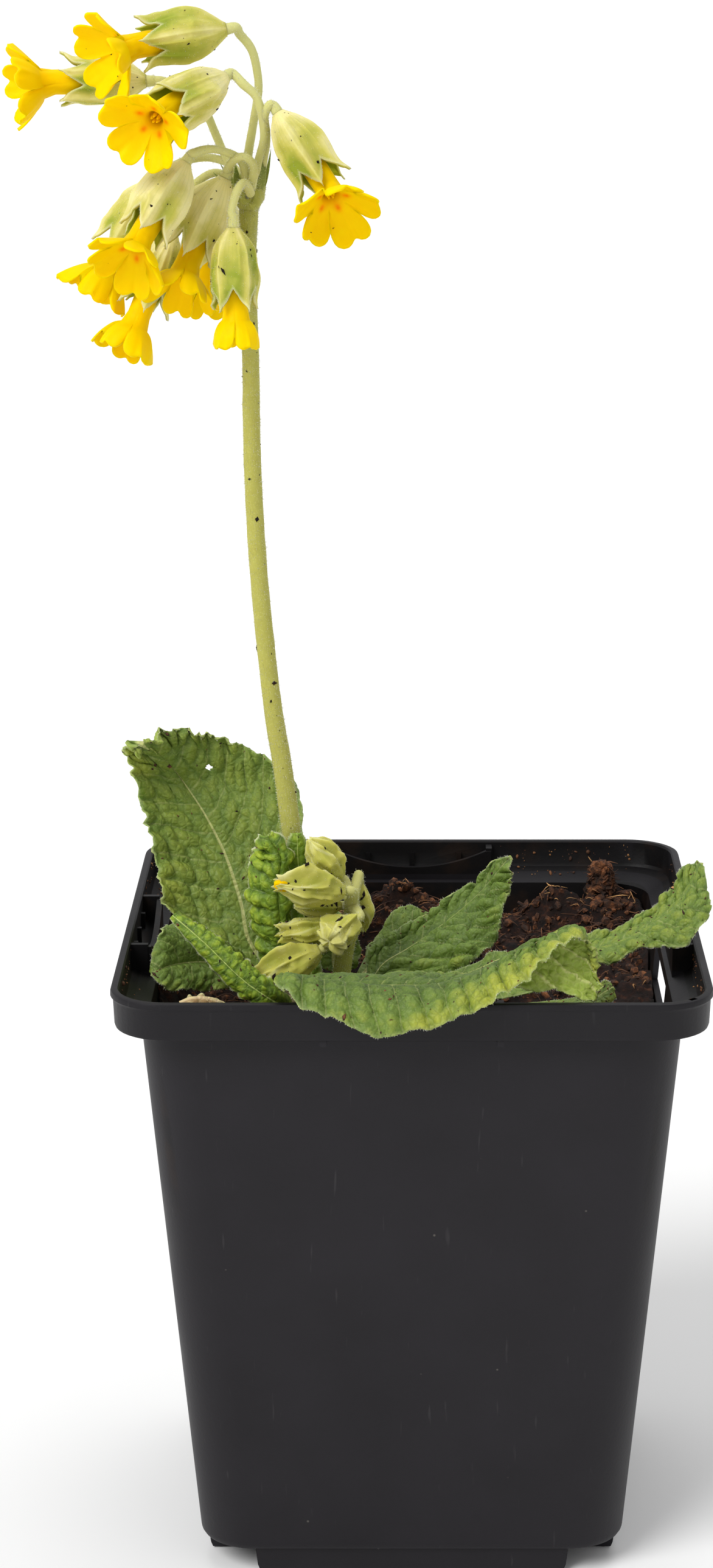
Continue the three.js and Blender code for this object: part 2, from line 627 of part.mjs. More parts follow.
// a closed bud: five ridges drawn together in a point
function makeBud(bud) {
  const base = v(...bud.base);
  const along = v(...bud.tip).sub(base);
  const axes = axesAlong(along.toArray(), 0);
  const rings = BUD_HEIGHTS.map((t, k) => circle(0, 0, 0, bud.radius * BUD_SHAPE[k], 15).map((p) => {
    const ridge = 1 + 0.16 * (0.6 - Math.abs(Math.sin(2.5 * Math.atan2(p.y, p.x))));
    return inAxes(axes, base, p.x * ridge, p.y * ridge, t * along.length());
  }));
  return loft(rings).geometry();
}
for (const [name, bud] of Object.entries(BUDS)) node(`bud_${name}`, makeBud(bud), calyxGreen);

// The leaves: a blade hangs between three curves that run from the rootstock to the tip: the edge a, the midrib
// and the edge b. bulge arches each half, wave and waves frill its edge, relief puckers it between the veins.
// A point is picked by eye in the photograph, or set in millimetres where the leaf is hidden or makes way.
const LEAVES = {
  back_left: {
    rows: 20, cols: 3, bulge: [-0.1, -0.08], wave: 0.9, waves: 5, relief: 0.3,
    a: [[-22.4, 1.2, 87], [-31.5, 0, 92], [-39.3, 3, 98],
      ...seen([258, 1430, 5], [243, 1360, 7], [230, 1305, 8], [219, 1262, 7], [203, 1238, 4], [207, 1215, 0],
        [224, 1207, -2])],
    rib: [[-21.6, 2.2, 86.7], [-26, 4, 92.5], [-27.5, 7, 98], [-30, 10, 105],
      ...seen([338, 1340, 12], [305, 1290, 13], [283, 1262, 11], [262, 1240, 7], [243, 1224, 2], [226, 1210, -2])],
    b: [[-20.6, 3.2, 87], [-22, 6, 92.5], [-19, 8, 100.5],
      ...seen([498, 1388, 9], [496, 1322, 11], [472, 1264, 14], [412, 1232, 14], [345, 1205, 12], [278, 1201, 6],
        [228, 1205, -1])],
  },
  low_left: {
    rows: 12, cols: 3, bulge: [-0.1, -0.1], wave: 0.6, waves: 4, relief: 0.25,
    a: [[-21.9, -3.4, 87], [-27, -6, 93.5], [-31.5, -9, 98], [-36, -12, 100.5], [-39, -16, 100.5],
      ...seen([249, 1570, -19], [247, 1598, -20])],
    rib: [[-21.9, -4.4, 86.7], [-27.5, -8, 91.5], [-31.5, -12, 94], [-34.5, -15, 95], [-37, -18, 95.5],
      [-38.5, -20, 95.5], ...seen([248, 1600, -21])],
    b: [[-21.7, -5.4, 87], [-26.5, -11, 89.5], [-29.5, -14, 90], [-32.5, -17, 91], [-35.5, -20, 92],
      [-38, -22, 93], [-40, -21.5, 95]],
  },
  right: {
    rows: 14, cols: 3, bulge: [-0.06, 0.12], wave: 0.7, waves: 4, relief: 0.3,
    a: [[-7.2, -1.6, 87.1],
      ...seen([607, 1550, 4], [652, 1530, 7], [700, 1500, 9], [750, 1467, 10], [792, 1434, 10], [820, 1410, 9],
        [836, 1407, 7])],
    rib: [[-6.9, -2.6, 86.7],
      ...seen([628, 1584, 1], [672, 1556, 4], [716, 1526, 6], [757, 1494, 7], [792, 1462, 8], [820, 1430, 8],
        [839, 1409, 7])],
    b: [[-6.9, -3.6, 87.1], [-3.5, -3, 87.5],
      ...seen([705, 1617, -4], [764, 1594, -4], [802, 1558, -2], [828, 1512, 1], [835, 1452, 4], [841, 1414, 6])],
  },
  back: {
    rows: 10, cols: 2, bulge: [0.08, 0.08], wave: 0.4, waves: 3, relief: 0.2,
    a: [[-8.9, 3.2, 87.1],
      ...seen([613, 1546, 12], [632, 1518, 14], [650, 1494, 15], [670, 1488, 16], [690, 1494, 16],
        [704, 1501, 16])],
    rib: [[-8.2, 2.3, 86.7],
      ...seen([626, 1566, 10], [648, 1543, 12], [668, 1522, 13], [684, 1511, 14], [697, 1505, 15],
        [707, 1503, 15])],
    b: [[-7.6, 1.4, 87.1], [-3.5, 9, 87],
      ...seen([672, 1567, 10], [694, 1545, 11], [706, 1528, 12], [711, 1513, 13], [710, 1505, 14])],
  },
  front: {
    rows: 20, cols: 3, bulge: [-0.2, -0.12], wave: 0.7, waves: 8, relief: 0.3,
    a: [[-16.6, -10.6, 87], [-18.6, -22, 93.2], [-19.8, -41.5, 100.2], [-17, -47.2, 99.2], [-10.5, -48.8, 96.4],
      ...seen([625, 1703, -49.5], [690, 1694, -49.5], [750, 1675, -49], [805, 1650, -48], [848, 1624, -47],
        [890, 1585, -45], [930, 1550, -42], [962, 1544, -38])],
    rib: [[-15.8, -10.8, 86.7], [-17.4, -22, 93.2], [-18.5, -38, 99.2], [-14, -41, 100.2], [-8.5, -42.5, 100.4],
      [-2.5, -43, 100.4],
      ...seen([710, 1617, -42.5], [765, 1604, -41.5], [820, 1580, -40], [868, 1552, -38.5], [905, 1537, -37],
        [938, 1522, -35.5], [964, 1543, -36])],
    b: [[-15, -10.9, 87], [-16.2, -22, 93.6], [-16.5, -34, 97], [-12.5, -33, 96.5], [-7, -34, 97],
      ...seen([660, 1604, -35], [715, 1603, -35]), [9, -38, 99.6], [14, -40.2, 99.4], [18, -41.2, 99],
      [22.5, -41.6, 98.6], ...seen([982, 1640, -41], [970, 1560, -36])],
  },
  far_right: {
    rows: 18, cols: 3, bulge: [-0.1, 0.14], wave: 0.5, waves: 6, relief: 0.3,
    a: [[-8.9, -8.4, 87.1], [3, -15, 90], [16.5, -19, 94], [26, -14, 98.5], [31.5, -12.5, 99.8],
      [35, -11.5, 101.2], ...seen([1080, 1480, -9], [1105, 1455, -8], [1126, 1424, -7], [1146, 1414, -7])],
    rib: [[-9.4, -9.2, 86.7], [2.6, -17.5, 90], [16, -21.5, 93], [25.5, -18, 97], [31.5, -16, 98.6],
      ...seen([1050, 1530, -15.5], [1088, 1507, -14.5], [1118, 1480, -13], [1140, 1445, -11], [1150, 1417, -9])],
    b: [[-10.2, -9.8, 87.1], [2, -20, 90.5], [15.5, -24.5, 92.5], [26, -21.5, 96], [32.5, -19.5, 97],
      ...seen([1062, 1554, -19]), [39.5, -21, 98.8], [43, -20.5, 100.4],
      ...seen([1166, 1500, -17], [1158, 1424, -11])],
  },
  middle: {
    rows: 8, cols: 2, bulge: [0.06, 0.06], wave: 0.5, waves: 3, relief: 0.2,
    a: [[-12.6, 5, 87], [-16, 5.9, 88], [-17, 6.4, 90], [-17.5, 6.9, 92.5], [-16.5, 7.3, 95], [-14, 7.6, 96.5]],
    rib: [[-11.6, 5, 86.7], [-12.5, 5.5, 88], [-12.6, 6, 90], [-12.6, 6.4, 92.5], [-12.8, 7, 95],
      [-13, 7.6, 96.5]],
    b: [[-10.7, 4.6, 87], [-8.8, 4.6, 88], [-8.2, 5, 90], [-8.5, 5.5, 92], [-9.5, 6.2, 94.5], [-12, 7.6, 96.5]],
  },
  small_right: {
    rows: 8, cols: 2, bulge: [-0.1, 0.1], wave: 0.3, waves: 3, relief: 0.15,
    a: [[-6.7, -5.2, 87.1], [3.5, -7.2, 90], [9.5, -8, 92.5], [12.5, -8.4, 94.6], [14.8, -9.4, 95]],
    rib: [[-6.9, -6, 86.7], [3.5, -8.6, 89.8], [9.5, -10, 91.8], [13.2, -10.6, 93.8], [15.5, -10.8, 94.8]],
    b: [[-7.2, -6.8, 87.1], [3.3, -10, 90], [9.3, -12, 91.6], [13.8, -12.8, 93], [16, -12, 94.4]],
  },
  low_right: {
    rows: 9, cols: 2, bulge: [-0.1, 0.1], wave: 0.25, waves: 5, relief: 0.15,
    a: [[-12.6, -10.7, 87.1], [2, -25, 91.6], ...seen([850, 1648, -28], [960, 1634, -29], [990, 1611, -29]),
      [30, -29.5, 96.4]],
    rib: [[-13.3, -11, 86.7], [1.6, -26.4, 91.4],
      ...seen([850, 1655, -30], [960, 1646, -31], [995, 1630, -31], [1009, 1622, -31])],
    b: [[-14.1, -11.1, 87.1], [1.2, -27.8, 91.6], ...seen([850, 1662, -32]), [26, -33, 93.6],
      ...seen([998, 1650, -33], [1013, 1640, -32])],
  },
};

// Young leaves, both halves rolled over the upper face: the midrib, the way to the side a, the half widths of
// both halves from base to tip, and how far each half rolls, in degrees
const ROLLED = {
  young_front: {
    rows: 14, cols: 3, side: [-0.5, -0.5, -0.7], roll: [165, 165], wave: 0.3, waves: 7,
    width: [[3, 6.6, 7.4, 6.6, 4.5], [3, 6.2, 6.8, 6, 4]],
    rib: [[-19.4, -9.6, 86.8], [-22.8, -19, 90.5], ...seen([392, 1606, -20], [335, 1550, -19], [284, 1504, -17])],
  },
  young_left: {
    rows: 12, cols: 3, side: [-1, -0.25, 0.1], roll: [150, 150], wave: 0.4, waves: 6,
    width: [[3, 7, 8.4, 7.6, 5.5], [3, 5.6, 6.4, 6.2, 5]],
    rib: [[-20.2, -2.4, 86.8], [-21.5, -3, 92], [-22.3, -3.2, 98.5], [-23, -3.4, 105], [-22.5, -3.8, 110],
      [-23, -4.8, 113.5]],
  },
  young_middle: {
    rows: 10, cols: 2, side: [-1, -0.1, 0], roll: [40, 40], wave: 0.2, waves: 4,
    width: [[2, 1.8, 1.8, 1.9, 2.2], [2, 1.8, 1.8, 1.9, 2.2]],
    rib: [[-15.6, -2.4, 86.8], [-16.4, -3, 92], [-17.2, -3, 100], [-17.9, -3, 107], [-18.1, -3.2, 112.5]],
  },
};

// The dry leaf hangs down to the front rim, behind the young one
const DRY_LEAF = {
  rows: 9, cols: 2, bulge: [0.2, 0.2], wave: 0.5, waves: 4, relief: 0,
  a: [[-20.9, -10, 85.6], [-21.3, -17, 85.4], [-23.6, -25.4, 87], [-27, -31, 92.8], [-30, -34, 96.2],
    [-33, -35.4, 97.2], [-34.5, -36.4, 96.2]],
  rib: [[-20.2, -10.8, 85.3], [-20.6, -17, 85], [-22.6, -26, 86.6], [-26, -32.5, 92.6], [-29.5, -35.6, 96.2],
    [-32.5, -37.5, 97.2], [-34.5, -38, 96.5]],
  b: [[-19.4, -11.5, 85.6], [-19.9, -17, 85.4], [-21.8, -26.6, 87], [-25.6, -34, 92.4], [-29.5, -37, 95.6],
    [-32.5, -39, 96.6], [-34, -39, 96.5]],
};

// both faces of a sheet are split into triangles alike, and a wall closes it all round
function sheet(grid, thickness) {
  const rows = grid.length;
  const cols = grid[0].length;
  const body = new Body();
  const inside = (i, count) => Math.min(Math.max(i, 0), count - 1);
  const at = (i, j) => grid[inside(i, rows)][inside(j, cols)];
  const face = (lift) => grid.map((row, i) => row.map((p, j) => {
    const along = at(i + 1, j).clone().sub(at(i - 1, j));
    const across = at(i, j + 1).clone().sub(at(i, j - 1));
    return body.add(p.clone().addScaledVector(along.cross(across).normalize(), lift));
  }));
  const up = face(thickness / 2);
  const down = face(-thickness / 2);
  const [lastRow, lastCol] = [rows - 1, cols - 1];
  for (let i = 0; i < lastRow; i++) {
    for (let j = 0; j < lastCol; j++) {
      const [a, b, c, d] = [up[i][j], up[i + 1][j], up[i + 1][j + 1], up[i][j + 1]];
      const [e, f, g, h] = [down[i][j], down[i + 1][j], down[i + 1][j + 1], down[i][j + 1]];
      const triangles = j < lastCol / 2
        ? [[a, b, c], [a, c, d], [e, g, f], [e, h, g]]
        : [[a, b, d], [b, c, d], [e, h, f], [f, h, g]];
      triangles.forEach((corners) => body.tri(...corners));
    }
    body.quad(down[i][0], down[i + 1][0], up[i + 1][0], up[i][0]);
    body.quad(up[i][lastCol], up[i + 1][lastCol], down[i + 1][lastCol], down[i][lastCol]);
  }
  for (let j = 0; j < lastCol; j++) {
    body.quad(up[0][j], up[0][j + 1], down[0][j + 1], down[0][j]);
    body.quad(down[lastRow][j], down[lastRow][j + 1], up[lastRow][j + 1], up[lastRow][j]);
  }
  return body.geometry();
}

// the frill of an edge at the share s of its length; the two edges are out of step
const frillAt = (leaf, s, half) => leaf.wave * Math.sin(2 * Math.PI * leaf.waves * s + half * 1.9);

function makeLeaf(leaf) {
  const [a, rib, b] = [leaf.a, leaf.rib, leaf.b].map(curveOf);
  const grid = [];
  for (let i = 0; i <= leaf.rows; i++) {
    const s = i / leaf.rows;
    const middle = rib.getPoint(s);
    const edges = [a.getPoint(s), b.getPoint(s)];
    const normal = edges[1].clone().sub(edges[0]).cross(rib.getTangent(s)).normalize();
    const row = [];
    for (let j = -leaf.cols; j <= leaf.cols; j++) {
      const x = Math.abs(j) / leaf.cols;
      const half = j < 0 ? 0 : 1;
      const width = edges[half].distanceTo(middle);
      const fade = clamp01(width / 4) * clamp01((1 - s) * 6) * clamp01(s * 8);
      const pucker = leaf.relief * Math.sin(Math.PI * x) * (i % 2 ? 1 : -1);
      const lift = width * leaf.bulge[half] * 4 * x * (1 - x) + (frillAt(leaf, s, half) * x * x + pucker) * fade;
      row.push(middle.clone().lerp(edges[half], x).addScaledVector(normal, lift));
    }
    grid.push(row);
  }
  return sheet(grid, LEAF_THICKNESS);
}

// a young leaf's width along its length, 1 at its widest: quick to open, quick to close
function swell(s) {
  const [open, close] = [0.27, 0.3];
  const widest = open / (open + close);
  const t = Math.min(Math.max(s, 1e-4), 0.985);
  const shape = (t ** open * (1 - t) ** close) / (widest ** open * (1 - widest) ** close);
  return Math.max(shape, 0.3 * (1 - s * 4));
}

function makeRolled(leaf) {
  const rib = curveOf(leaf.rib);
  const stations = [0, 0.25, 0.5, 0.75, 1];
  const grid = [];
  for (let i = 0; i <= leaf.rows; i++) {
    const s = i / leaf.rows;
    const tangent = rib.getTangent(s);
    const side = v(...leaf.side);
    side.addScaledVector(tangent, -side.dot(tangent)).normalize();
    const normal = tangent.clone().cross(side);
    const row = [];
    for (let j = leaf.cols; j >= -leaf.cols; j--) {
      const x = Math.abs(j) / leaf.cols;
      const half = j >= 0 ? 0 : 1;
      const width = tableAt(stations, leaf.width[half], s) * swell(s);
      const turn = THREE.MathUtils.degToRad(leaf.roll[half]);
      const frill = frillAt(leaf, s, half) * x * clamp01(width / 3);
      const out = (Math.sin(turn * x) / turn) * width - frill * Math.sin(turn * x);
      const up = ((1 - Math.cos(turn * x)) / turn) * width + frill * Math.cos(turn * x);
      row.push(rib.getPoint(s).addScaledVector(side, half ? -out : out).addScaledVector(normal, up));
    }
    grid.push(row);
  }
  return sheet(grid, LEAF_THICKNESS);
}

for (const [name, leaf] of Object.entries(LEAVES)) node(`leaf_${name}`, makeLeaf(leaf), leafGreen);
for (const [name, leaf] of Object.entries(ROLLED)) node(`leaf_${name}`, makeRolled(leaf), youngGreen);
node('leaf_dry', makeLeaf(DRY_LEAF), dryTan);

export default part;
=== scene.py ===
# %% [markdown]
# # A potted cowslip
# A cowslip in flower, in a square nursery pot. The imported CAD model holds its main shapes, and this script
# gives each of them a finer surface and its finish. It is written in millimetres, and make_piece turns them
# into metres, in the same frame as the CAD: +Z is up and the front of the pot faces -Y.
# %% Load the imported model
import math

import bpy
import numpy as np
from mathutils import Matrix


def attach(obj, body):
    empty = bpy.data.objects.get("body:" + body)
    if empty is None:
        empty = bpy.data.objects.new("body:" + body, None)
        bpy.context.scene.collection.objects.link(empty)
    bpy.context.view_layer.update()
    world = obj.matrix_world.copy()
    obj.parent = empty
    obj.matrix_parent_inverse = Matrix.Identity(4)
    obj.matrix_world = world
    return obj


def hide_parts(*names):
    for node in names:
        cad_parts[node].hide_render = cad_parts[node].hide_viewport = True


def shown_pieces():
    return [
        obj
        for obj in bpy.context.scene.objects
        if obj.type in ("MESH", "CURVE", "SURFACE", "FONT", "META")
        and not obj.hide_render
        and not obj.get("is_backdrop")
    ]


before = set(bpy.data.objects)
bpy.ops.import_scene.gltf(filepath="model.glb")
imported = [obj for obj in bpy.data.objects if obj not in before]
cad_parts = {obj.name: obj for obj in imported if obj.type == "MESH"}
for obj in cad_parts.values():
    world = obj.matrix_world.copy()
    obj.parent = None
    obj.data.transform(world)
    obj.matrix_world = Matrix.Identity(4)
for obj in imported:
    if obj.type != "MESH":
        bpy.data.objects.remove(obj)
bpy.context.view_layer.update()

MM = 0.001

# %% [markdown]
# ## The camera
# The photograph was taken from 545 mm in front of the pot's middle and 264 mm above the table, looking down
# by 14.84 degrees. A camera could be placed by trial, but one that is fitted to the pot's rim and foot also
# tells where any pixel of the photograph lies in space. spot() does that, once a depth is chosen.
# %% Camera
IMAGE = (1172, 2576)
FOCAL = 5887.4
AIM = (677, 1288)
PITCH = math.radians(14.84)
STAND = 545.0
EYE = 264.0
SENSOR = 36.0

lens = bpy.data.cameras.new("camera")
lens.sensor_width = SENSOR
lens.lens = FOCAL / IMAGE[1] * SENSOR
lens.shift_x = (IMAGE[0] / 2 - AIM[0]) / IMAGE[1]
lens.clip_start = 0.01
lens.clip_end = 50
camera = bpy.data.objects.new("camera", lens)
camera.location = (0, -STAND * MM, EYE * MM)
camera.rotation_euler = (math.pi / 2 - PITCH, 0, 0)
bpy.context.scene.collection.objects.link(camera)
bpy.context.scene.camera = camera


def spot(u, v, y):
    """The point that shows at pixel u, v of the photograph and lies y behind the pot's middle."""
    right = (u - AIM[0]) / FOCAL
    up = (AIM[1] - v) / FOCAL
    reach = (y + STAND) / (math.cos(PITCH) + math.sin(PITCH) * up)
    return [right * reach, y, EYE + (math.cos(PITCH) * up - math.sin(PITCH)) * reach]


def seen(*pixels):
    """The points that several pixels show, each given as u, v and its depth."""
    return [spot(*each) for each in pixels]


def pixel(points):
    """Where points show in the photograph: u and v."""
    x, back, rise = points[..., 0], points[..., 1] + STAND, points[..., 2] - EYE
    reach = back * math.cos(PITCH) - rise * math.sin(PITCH)
    up = (back * math.sin(PITCH) + rise * math.cos(PITCH)) / reach
    return AIM[0] + FOCAL * x / reach, AIM[1] - FOCAL * up


print("lens in mm:", round(lens.lens, 2), "shift:", round(lens.shift_x, 4))

# %% [markdown]
# ## Tools for shapes
# Leaves and petals are thin, bent and blistered. They could be sculpted, or pulled out of curves with
# modifiers. Here each one is a grid of points that a few formulas place, because a formula can carry the
# veins along with the shape, and gives the same leaf in each run.
# %% Curves and frames


def unit(vectors):
    """The same vectors, each 1 long."""
    return vectors / np.maximum(np.linalg.norm(vectors, axis=-1, keepdims=True), 1e-9)


def angles(count):
    """Even angles round a circle."""
    return np.linspace(0, 2 * np.pi, count, endpoint=False)


def curve(points, t):
    """A smooth curve through the points, at the shares t of its way."""
    p = np.array(points, float)
    p = np.vstack([2 * p[0] - p[1], p, 2 * p[-1] - p[-2]])
    f = np.clip(t, 0, 1) * (len(p) - 3)
    i = np.minimum(f.astype(int), len(p) - 4)
    w = (f - i)[:, None]
    before, start, end, after = p[i], p[i + 1], p[i + 2], p[i + 3]
    leave = (end - before) / 2
    arrive = (after - start) / 2
    cubic = 2 * start - 2 * end + leave + arrive
    square = 3 * end - 3 * start - 2 * leave - arrive
    return ((cubic * w + square) * w + leave) * w + start


def heading(points, t):
    """The way that the curve goes at the shares t."""
    step = 0.001
    return unit(curve(points, t + step) - curve(points, t - step))


def smooth(x, low, high):
    """0 below low, 1 above high, and a soft rise between."""
    t = np.clip((x - low) / (high - low), 0, 1)
    return t * t * (3 - 2 * t)


# %% [markdown]
# Natural surfaces are uneven at every scale. Blender has noise textures for shaders, but the shapes need
# noise as numbers, so a repeatable hash of each lattice corner is blended into smooth noise, or into
# scattered cells.
# %% Noise and cells


def hashed(corner, seed):
    """A repeatable number from 0 to 1 for each whole-number corner."""
    n = corner @ np.array([374761393, 668265263, 974634777][: corner.shape[-1]]) + seed * 2246822519
    n = n & 0xFFFFFFFF
    n = ((n ^ (n >> 13)) * 1274126177) & 0xFFFFFFFF
    return (n ^ (n >> 16)) / 0xFFFFFFFF


def noise(points, size, seed=0):
    """Smooth noise from -1 to 1, with lumps of the given size."""
    p = np.asarray(points, float) / size
    cell = np.floor(p).astype(np.int64)
    f = smooth(p - cell, 0, 1)
    total = 0
    for corner in np.ndindex(*(2,) * p.shape[-1]):
        step = np.array(corner)
        weight = np.prod(np.where(step, f, 1 - f), axis=-1)
        total = total + weight * hashed(cell + step, seed)
    return total * 2 - 1


def rough(points, size, octaves, seed=0):
    """Noise with finer and finer detail."""
    return sum(noise(points, size / 2**k, seed + k) / 2**k for k in range(octaves))


def cell_gap(points, size, seed=0):
    """How far a point is from the border between scattered cells of a flat pattern, in its own units."""
    p = np.asarray(points, float) / size
    cell = np.floor(p).astype(np.int64)
    distances = []
    for dx in (-1, 0, 1):
        for dy in (-1, 0, 1):
            near = cell + np.array([dx, dy])
            seat = np.stack([hashed(near, seed), hashed(near, seed + 7)], -1) * 0.8 + 0.1
            distances.append(np.linalg.norm(near + seat - p, axis=-1))
    distances = np.sort(np.stack(distances), axis=0)
    return (distances[1] - distances[0]) * size


# %% [markdown]
# A piece is gathered from one or more bodies, each a set of points and faces. Values that belong to the
# points, such as how much of a vein shows there, go along as attributes for the material to read.
# %% From points to pieces


class Form:
    """Points, faces and values gathered for one piece."""

    def __init__(self):
        self.points = []
        self.faces = []
        self.values = {}
        self.count = 0

    def add(self, points, faces, **values):
        """Takes in one more body. A value is one number, or one for each point."""
        points = np.reshape(points, (-1, 3))
        self.points.append(points)
        self.faces += [np.reshape(f, (-1, np.shape(f)[-1])) + self.count for f in faces]
        for key, value in values.items():
            self.values.setdefault(key, []).append(np.broadcast_to(np.ravel(value), len(points)))
        self.count += len(points)


def make_piece(name, form, material, node=None, sharp=None):
    """Turns a form into a mesh object that rides on the pot, and leaves out points that no face uses."""
    points = np.vstack(form.points) * MM
    used = np.unique(np.concatenate([f.ravel() for f in form.faces]))
    place = np.zeros(len(points), int)
    place[used] = np.arange(len(used))
    faces = [face for f in form.faces for face in place[f].tolist()]
    mesh = bpy.data.meshes.new(name)
    mesh.from_pydata(points[used].tolist(), [], faces)
    mesh.shade_smooth()
    for key, value in form.values.items():
        data = np.concatenate(value)[used].astype(np.float32)
        mesh.attributes.new(key, "FLOAT", "POINT").data.foreach_set("value", data)
    mesh.materials.append(material)
    if sharp:
        mesh.set_sharp_from_angle(angle=math.radians(sharp))
    return place_piece(bpy.data.objects.new(name, mesh), node)


def place_piece(obj, node=None):
    """Puts a piece in the scene, with its body, and hides the CAD node that it stands for."""
    if obj.name not in bpy.context.scene.collection.objects:
        bpy.context.scene.collection.objects.link(obj)
    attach(obj, "root")
    if node:
        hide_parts(node)
    return obj


def grid_quads(rows, cols, wrap=False):
    """The faces between the points of a grid, which may be wrapped into a tube."""
    index = np.arange(rows * cols).reshape(rows, cols)
    if wrap:
        index = np.hstack([index, index[:, :1]])
    return np.stack([index[:-1, :-1], index[1:, :-1], index[1:, 1:], index[:-1, 1:]], -1)


def grid_normals(p, wrap=False):
    """The way that a grid faces at each of its points."""
    along = np.gradient(p, axis=0)
    if wrap:
        across = np.roll(p, -1, axis=1) - np.roll(p, 1, axis=1)
    else:
        across = np.gradient(p, axis=1)
    return unit(np.cross(along, across))


def shell(up, down, keep):
    """Points and faces of a closed thin body between two grids, with a wall wherever the kept cells end."""
    rows, cols = up.shape[:2]
    quads = grid_quads(rows, cols)
    around = np.pad(keep, 1)
    lower = rows * cols
    faces = [quads[keep], quads[keep][:, ::-1] + lower]
    neighbours = (around[1:-1, :-2], around[2:, 1:-1], around[1:-1, 2:], around[:-2, 1:-1])
    for side, beside in enumerate(neighbours):
        edge = keep & ~beside
        first = quads[edge][:, side]
        second = quads[edge][:, (side + 1) % 4]
        faces.append(np.stack([second, first, first + lower, second + lower], -1))
    return np.concatenate([up.reshape(-1, 3), down.reshape(-1, 3)]), faces


def closed(rings):
    """Points and faces of a body of rings, closed at both ends on a middle point."""
    rows, cols = rings.shape[:2]
    low = rings[0].mean(0)
    high = rings[-1].mean(0)
    first = np.arange(cols)
    following = np.roll(first, -1)
    last = first + (rows - 1) * cols
    ends = rows * cols
    faces = [
        grid_quads(rows, cols, wrap=True)[:, :, ::-1],
        np.stack([np.full(cols, ends), following, first], -1),
        np.stack([np.full(cols, ends + 1), last, np.roll(last, -1)], -1),
    ]
    return np.concatenate([rings.reshape(-1, 3), [low, high]]), faces


def tube(path, radii, sides, steps):
    """Rings of a round rod along a smooth curve, its radius given at even steps."""
    t = np.linspace(0, 1, steps + 1)
    centre = curve(path, t)
    way = heading(path, t)
    across = np.empty_like(way)
    previous = np.array([0, 1, 0.01])
    for k, ahead in enumerate(way):
        previous = previous - ahead * (previous @ ahead)
        previous = previous / np.linalg.norm(previous)
        across[k] = previous
    other = np.cross(way, across)
    radius = np.interp(t, np.linspace(0, 1, len(radii)), radii)[:, None, None]
    a = angles(sides)[None, :, None]
    return centre[:, None] + radius * (np.cos(a) * across[:, None] + np.sin(a) * other[:, None])


# %% [markdown]
# ## Tools for materials
# Every finish is a small network of nodes around one Principled shader. Colours are written as the hex
# values that a paint program shows, and turned into the linear values that light works with.
# %% Colour and node helpers
PER_MM = 1000.0


def tone(code):
    """An sRGB hex value as linear red, green, blue and alpha."""
    parts = [int(code[i : i + 2], 16) / 255 for i in (1, 3, 5)]
    return [c / 12.92 if c <= 0.04045 else ((c + 0.055) / 1.055) ** 2.4 for c in parts] + [1.0]


def feed(tree, node, inputs):
    """Sets a node's inputs. Each is a plain value, a colour's hex value, or the output that feeds it."""
    for key, value in inputs.items():
        if isinstance(value, bpy.types.NodeSocket):
            tree.links.new(value, node.inputs[key])
        else:
            node.inputs[key].default_value = tone(value) if isinstance(value, str) else value


def add(tree, kind, inputs=None, stops=(), **settings):
    """Adds a node with its settings and inputs, and with its stops if it is a colour ramp."""
    made = tree.nodes.new("ShaderNode" + kind)
    for key, value in settings.items():
        setattr(made, key, value)
    feed(tree, made, inputs or {})
    # a new ramp comes with two stops, which the first two here fill. Any further ones are added
    for k, (at, colour) in enumerate(stops):
        element = made.color_ramp.elements[k] if k < 2 else made.color_ramp.elements.new(at)
        element.position = at
        element.color = tone(colour)
    return made


def start_material(name):
    """A new material, its tree, its shader and the socket of places in metres."""
    material = bpy.data.materials.new(name)
    material.use_nodes = True
    tree = material.node_tree
    places = add(tree, "TexCoord").outputs["Object"]
    return material, tree, tree.nodes["Principled BSDF"], places


# the sockets of a colour Mix node, which has several pairs of the same name
FACTOR, MIX_A, MIX_B, MIXED = 0, 6, 7, 2
print("middle grey #808080 in linear light:", round(tone("#808080")[0], 3))

# %% [markdown]
# ## The pot
# A nursery pot is injection moulded from recycled polypropylene. It is one thin wall with a wide rim band, a
# label pocket in the middle of each side, slots, and straight feet. It could be kept as the CAD solid, but
# its corners are coarse, so the same rings are drawn with more steps and cut with boolean modifiers.
# %% Pot measures
POT_TOP = 98.0
RIM_HALF = 45.0
RIM_BAND_BOTTOM = 92.0
RIM_BAND_HALF = 44.5
RIM_INSIDE_HALF = 43.7
BODY_HALF_TOP = 40.83
BODY_HALF_BOTTOM = 33.4
BODY_BOTTOM = 4.3
WALL = 1.0
FLOOR = 1.5
CORNER = 8.5
LEDGE_LOW = 91.7
LEDGE_HIGH = 93.8
FOOT_HALF_LENGTH = 24.0
FOOT_OUTER = 32.4
FOOT_INNER = 26.4
FOOT_CHAMFER = 1.2
DISC_RADIUS = 7.0
POCKET_HALF = 13.5
POCKET_FACE = 41.0
POCKET_PLATE = 0.9
POCKET_TOP = 97.0
POCKET_SAG = 2.8
POCKET_RIBS = (-8.0, 0.0, 7.5)
SLOT_HALF = 11.8
SLOT_LOW = 83.6
SLOT_HIGH = 90.0
DRAIN_MIDDLES = (-12.0, 12.0)
DRAIN_HALF = 5.0
DRAIN_NEAR = 19.0
DRAIN_FAR = 23.0
CORNER_STEPS = 10


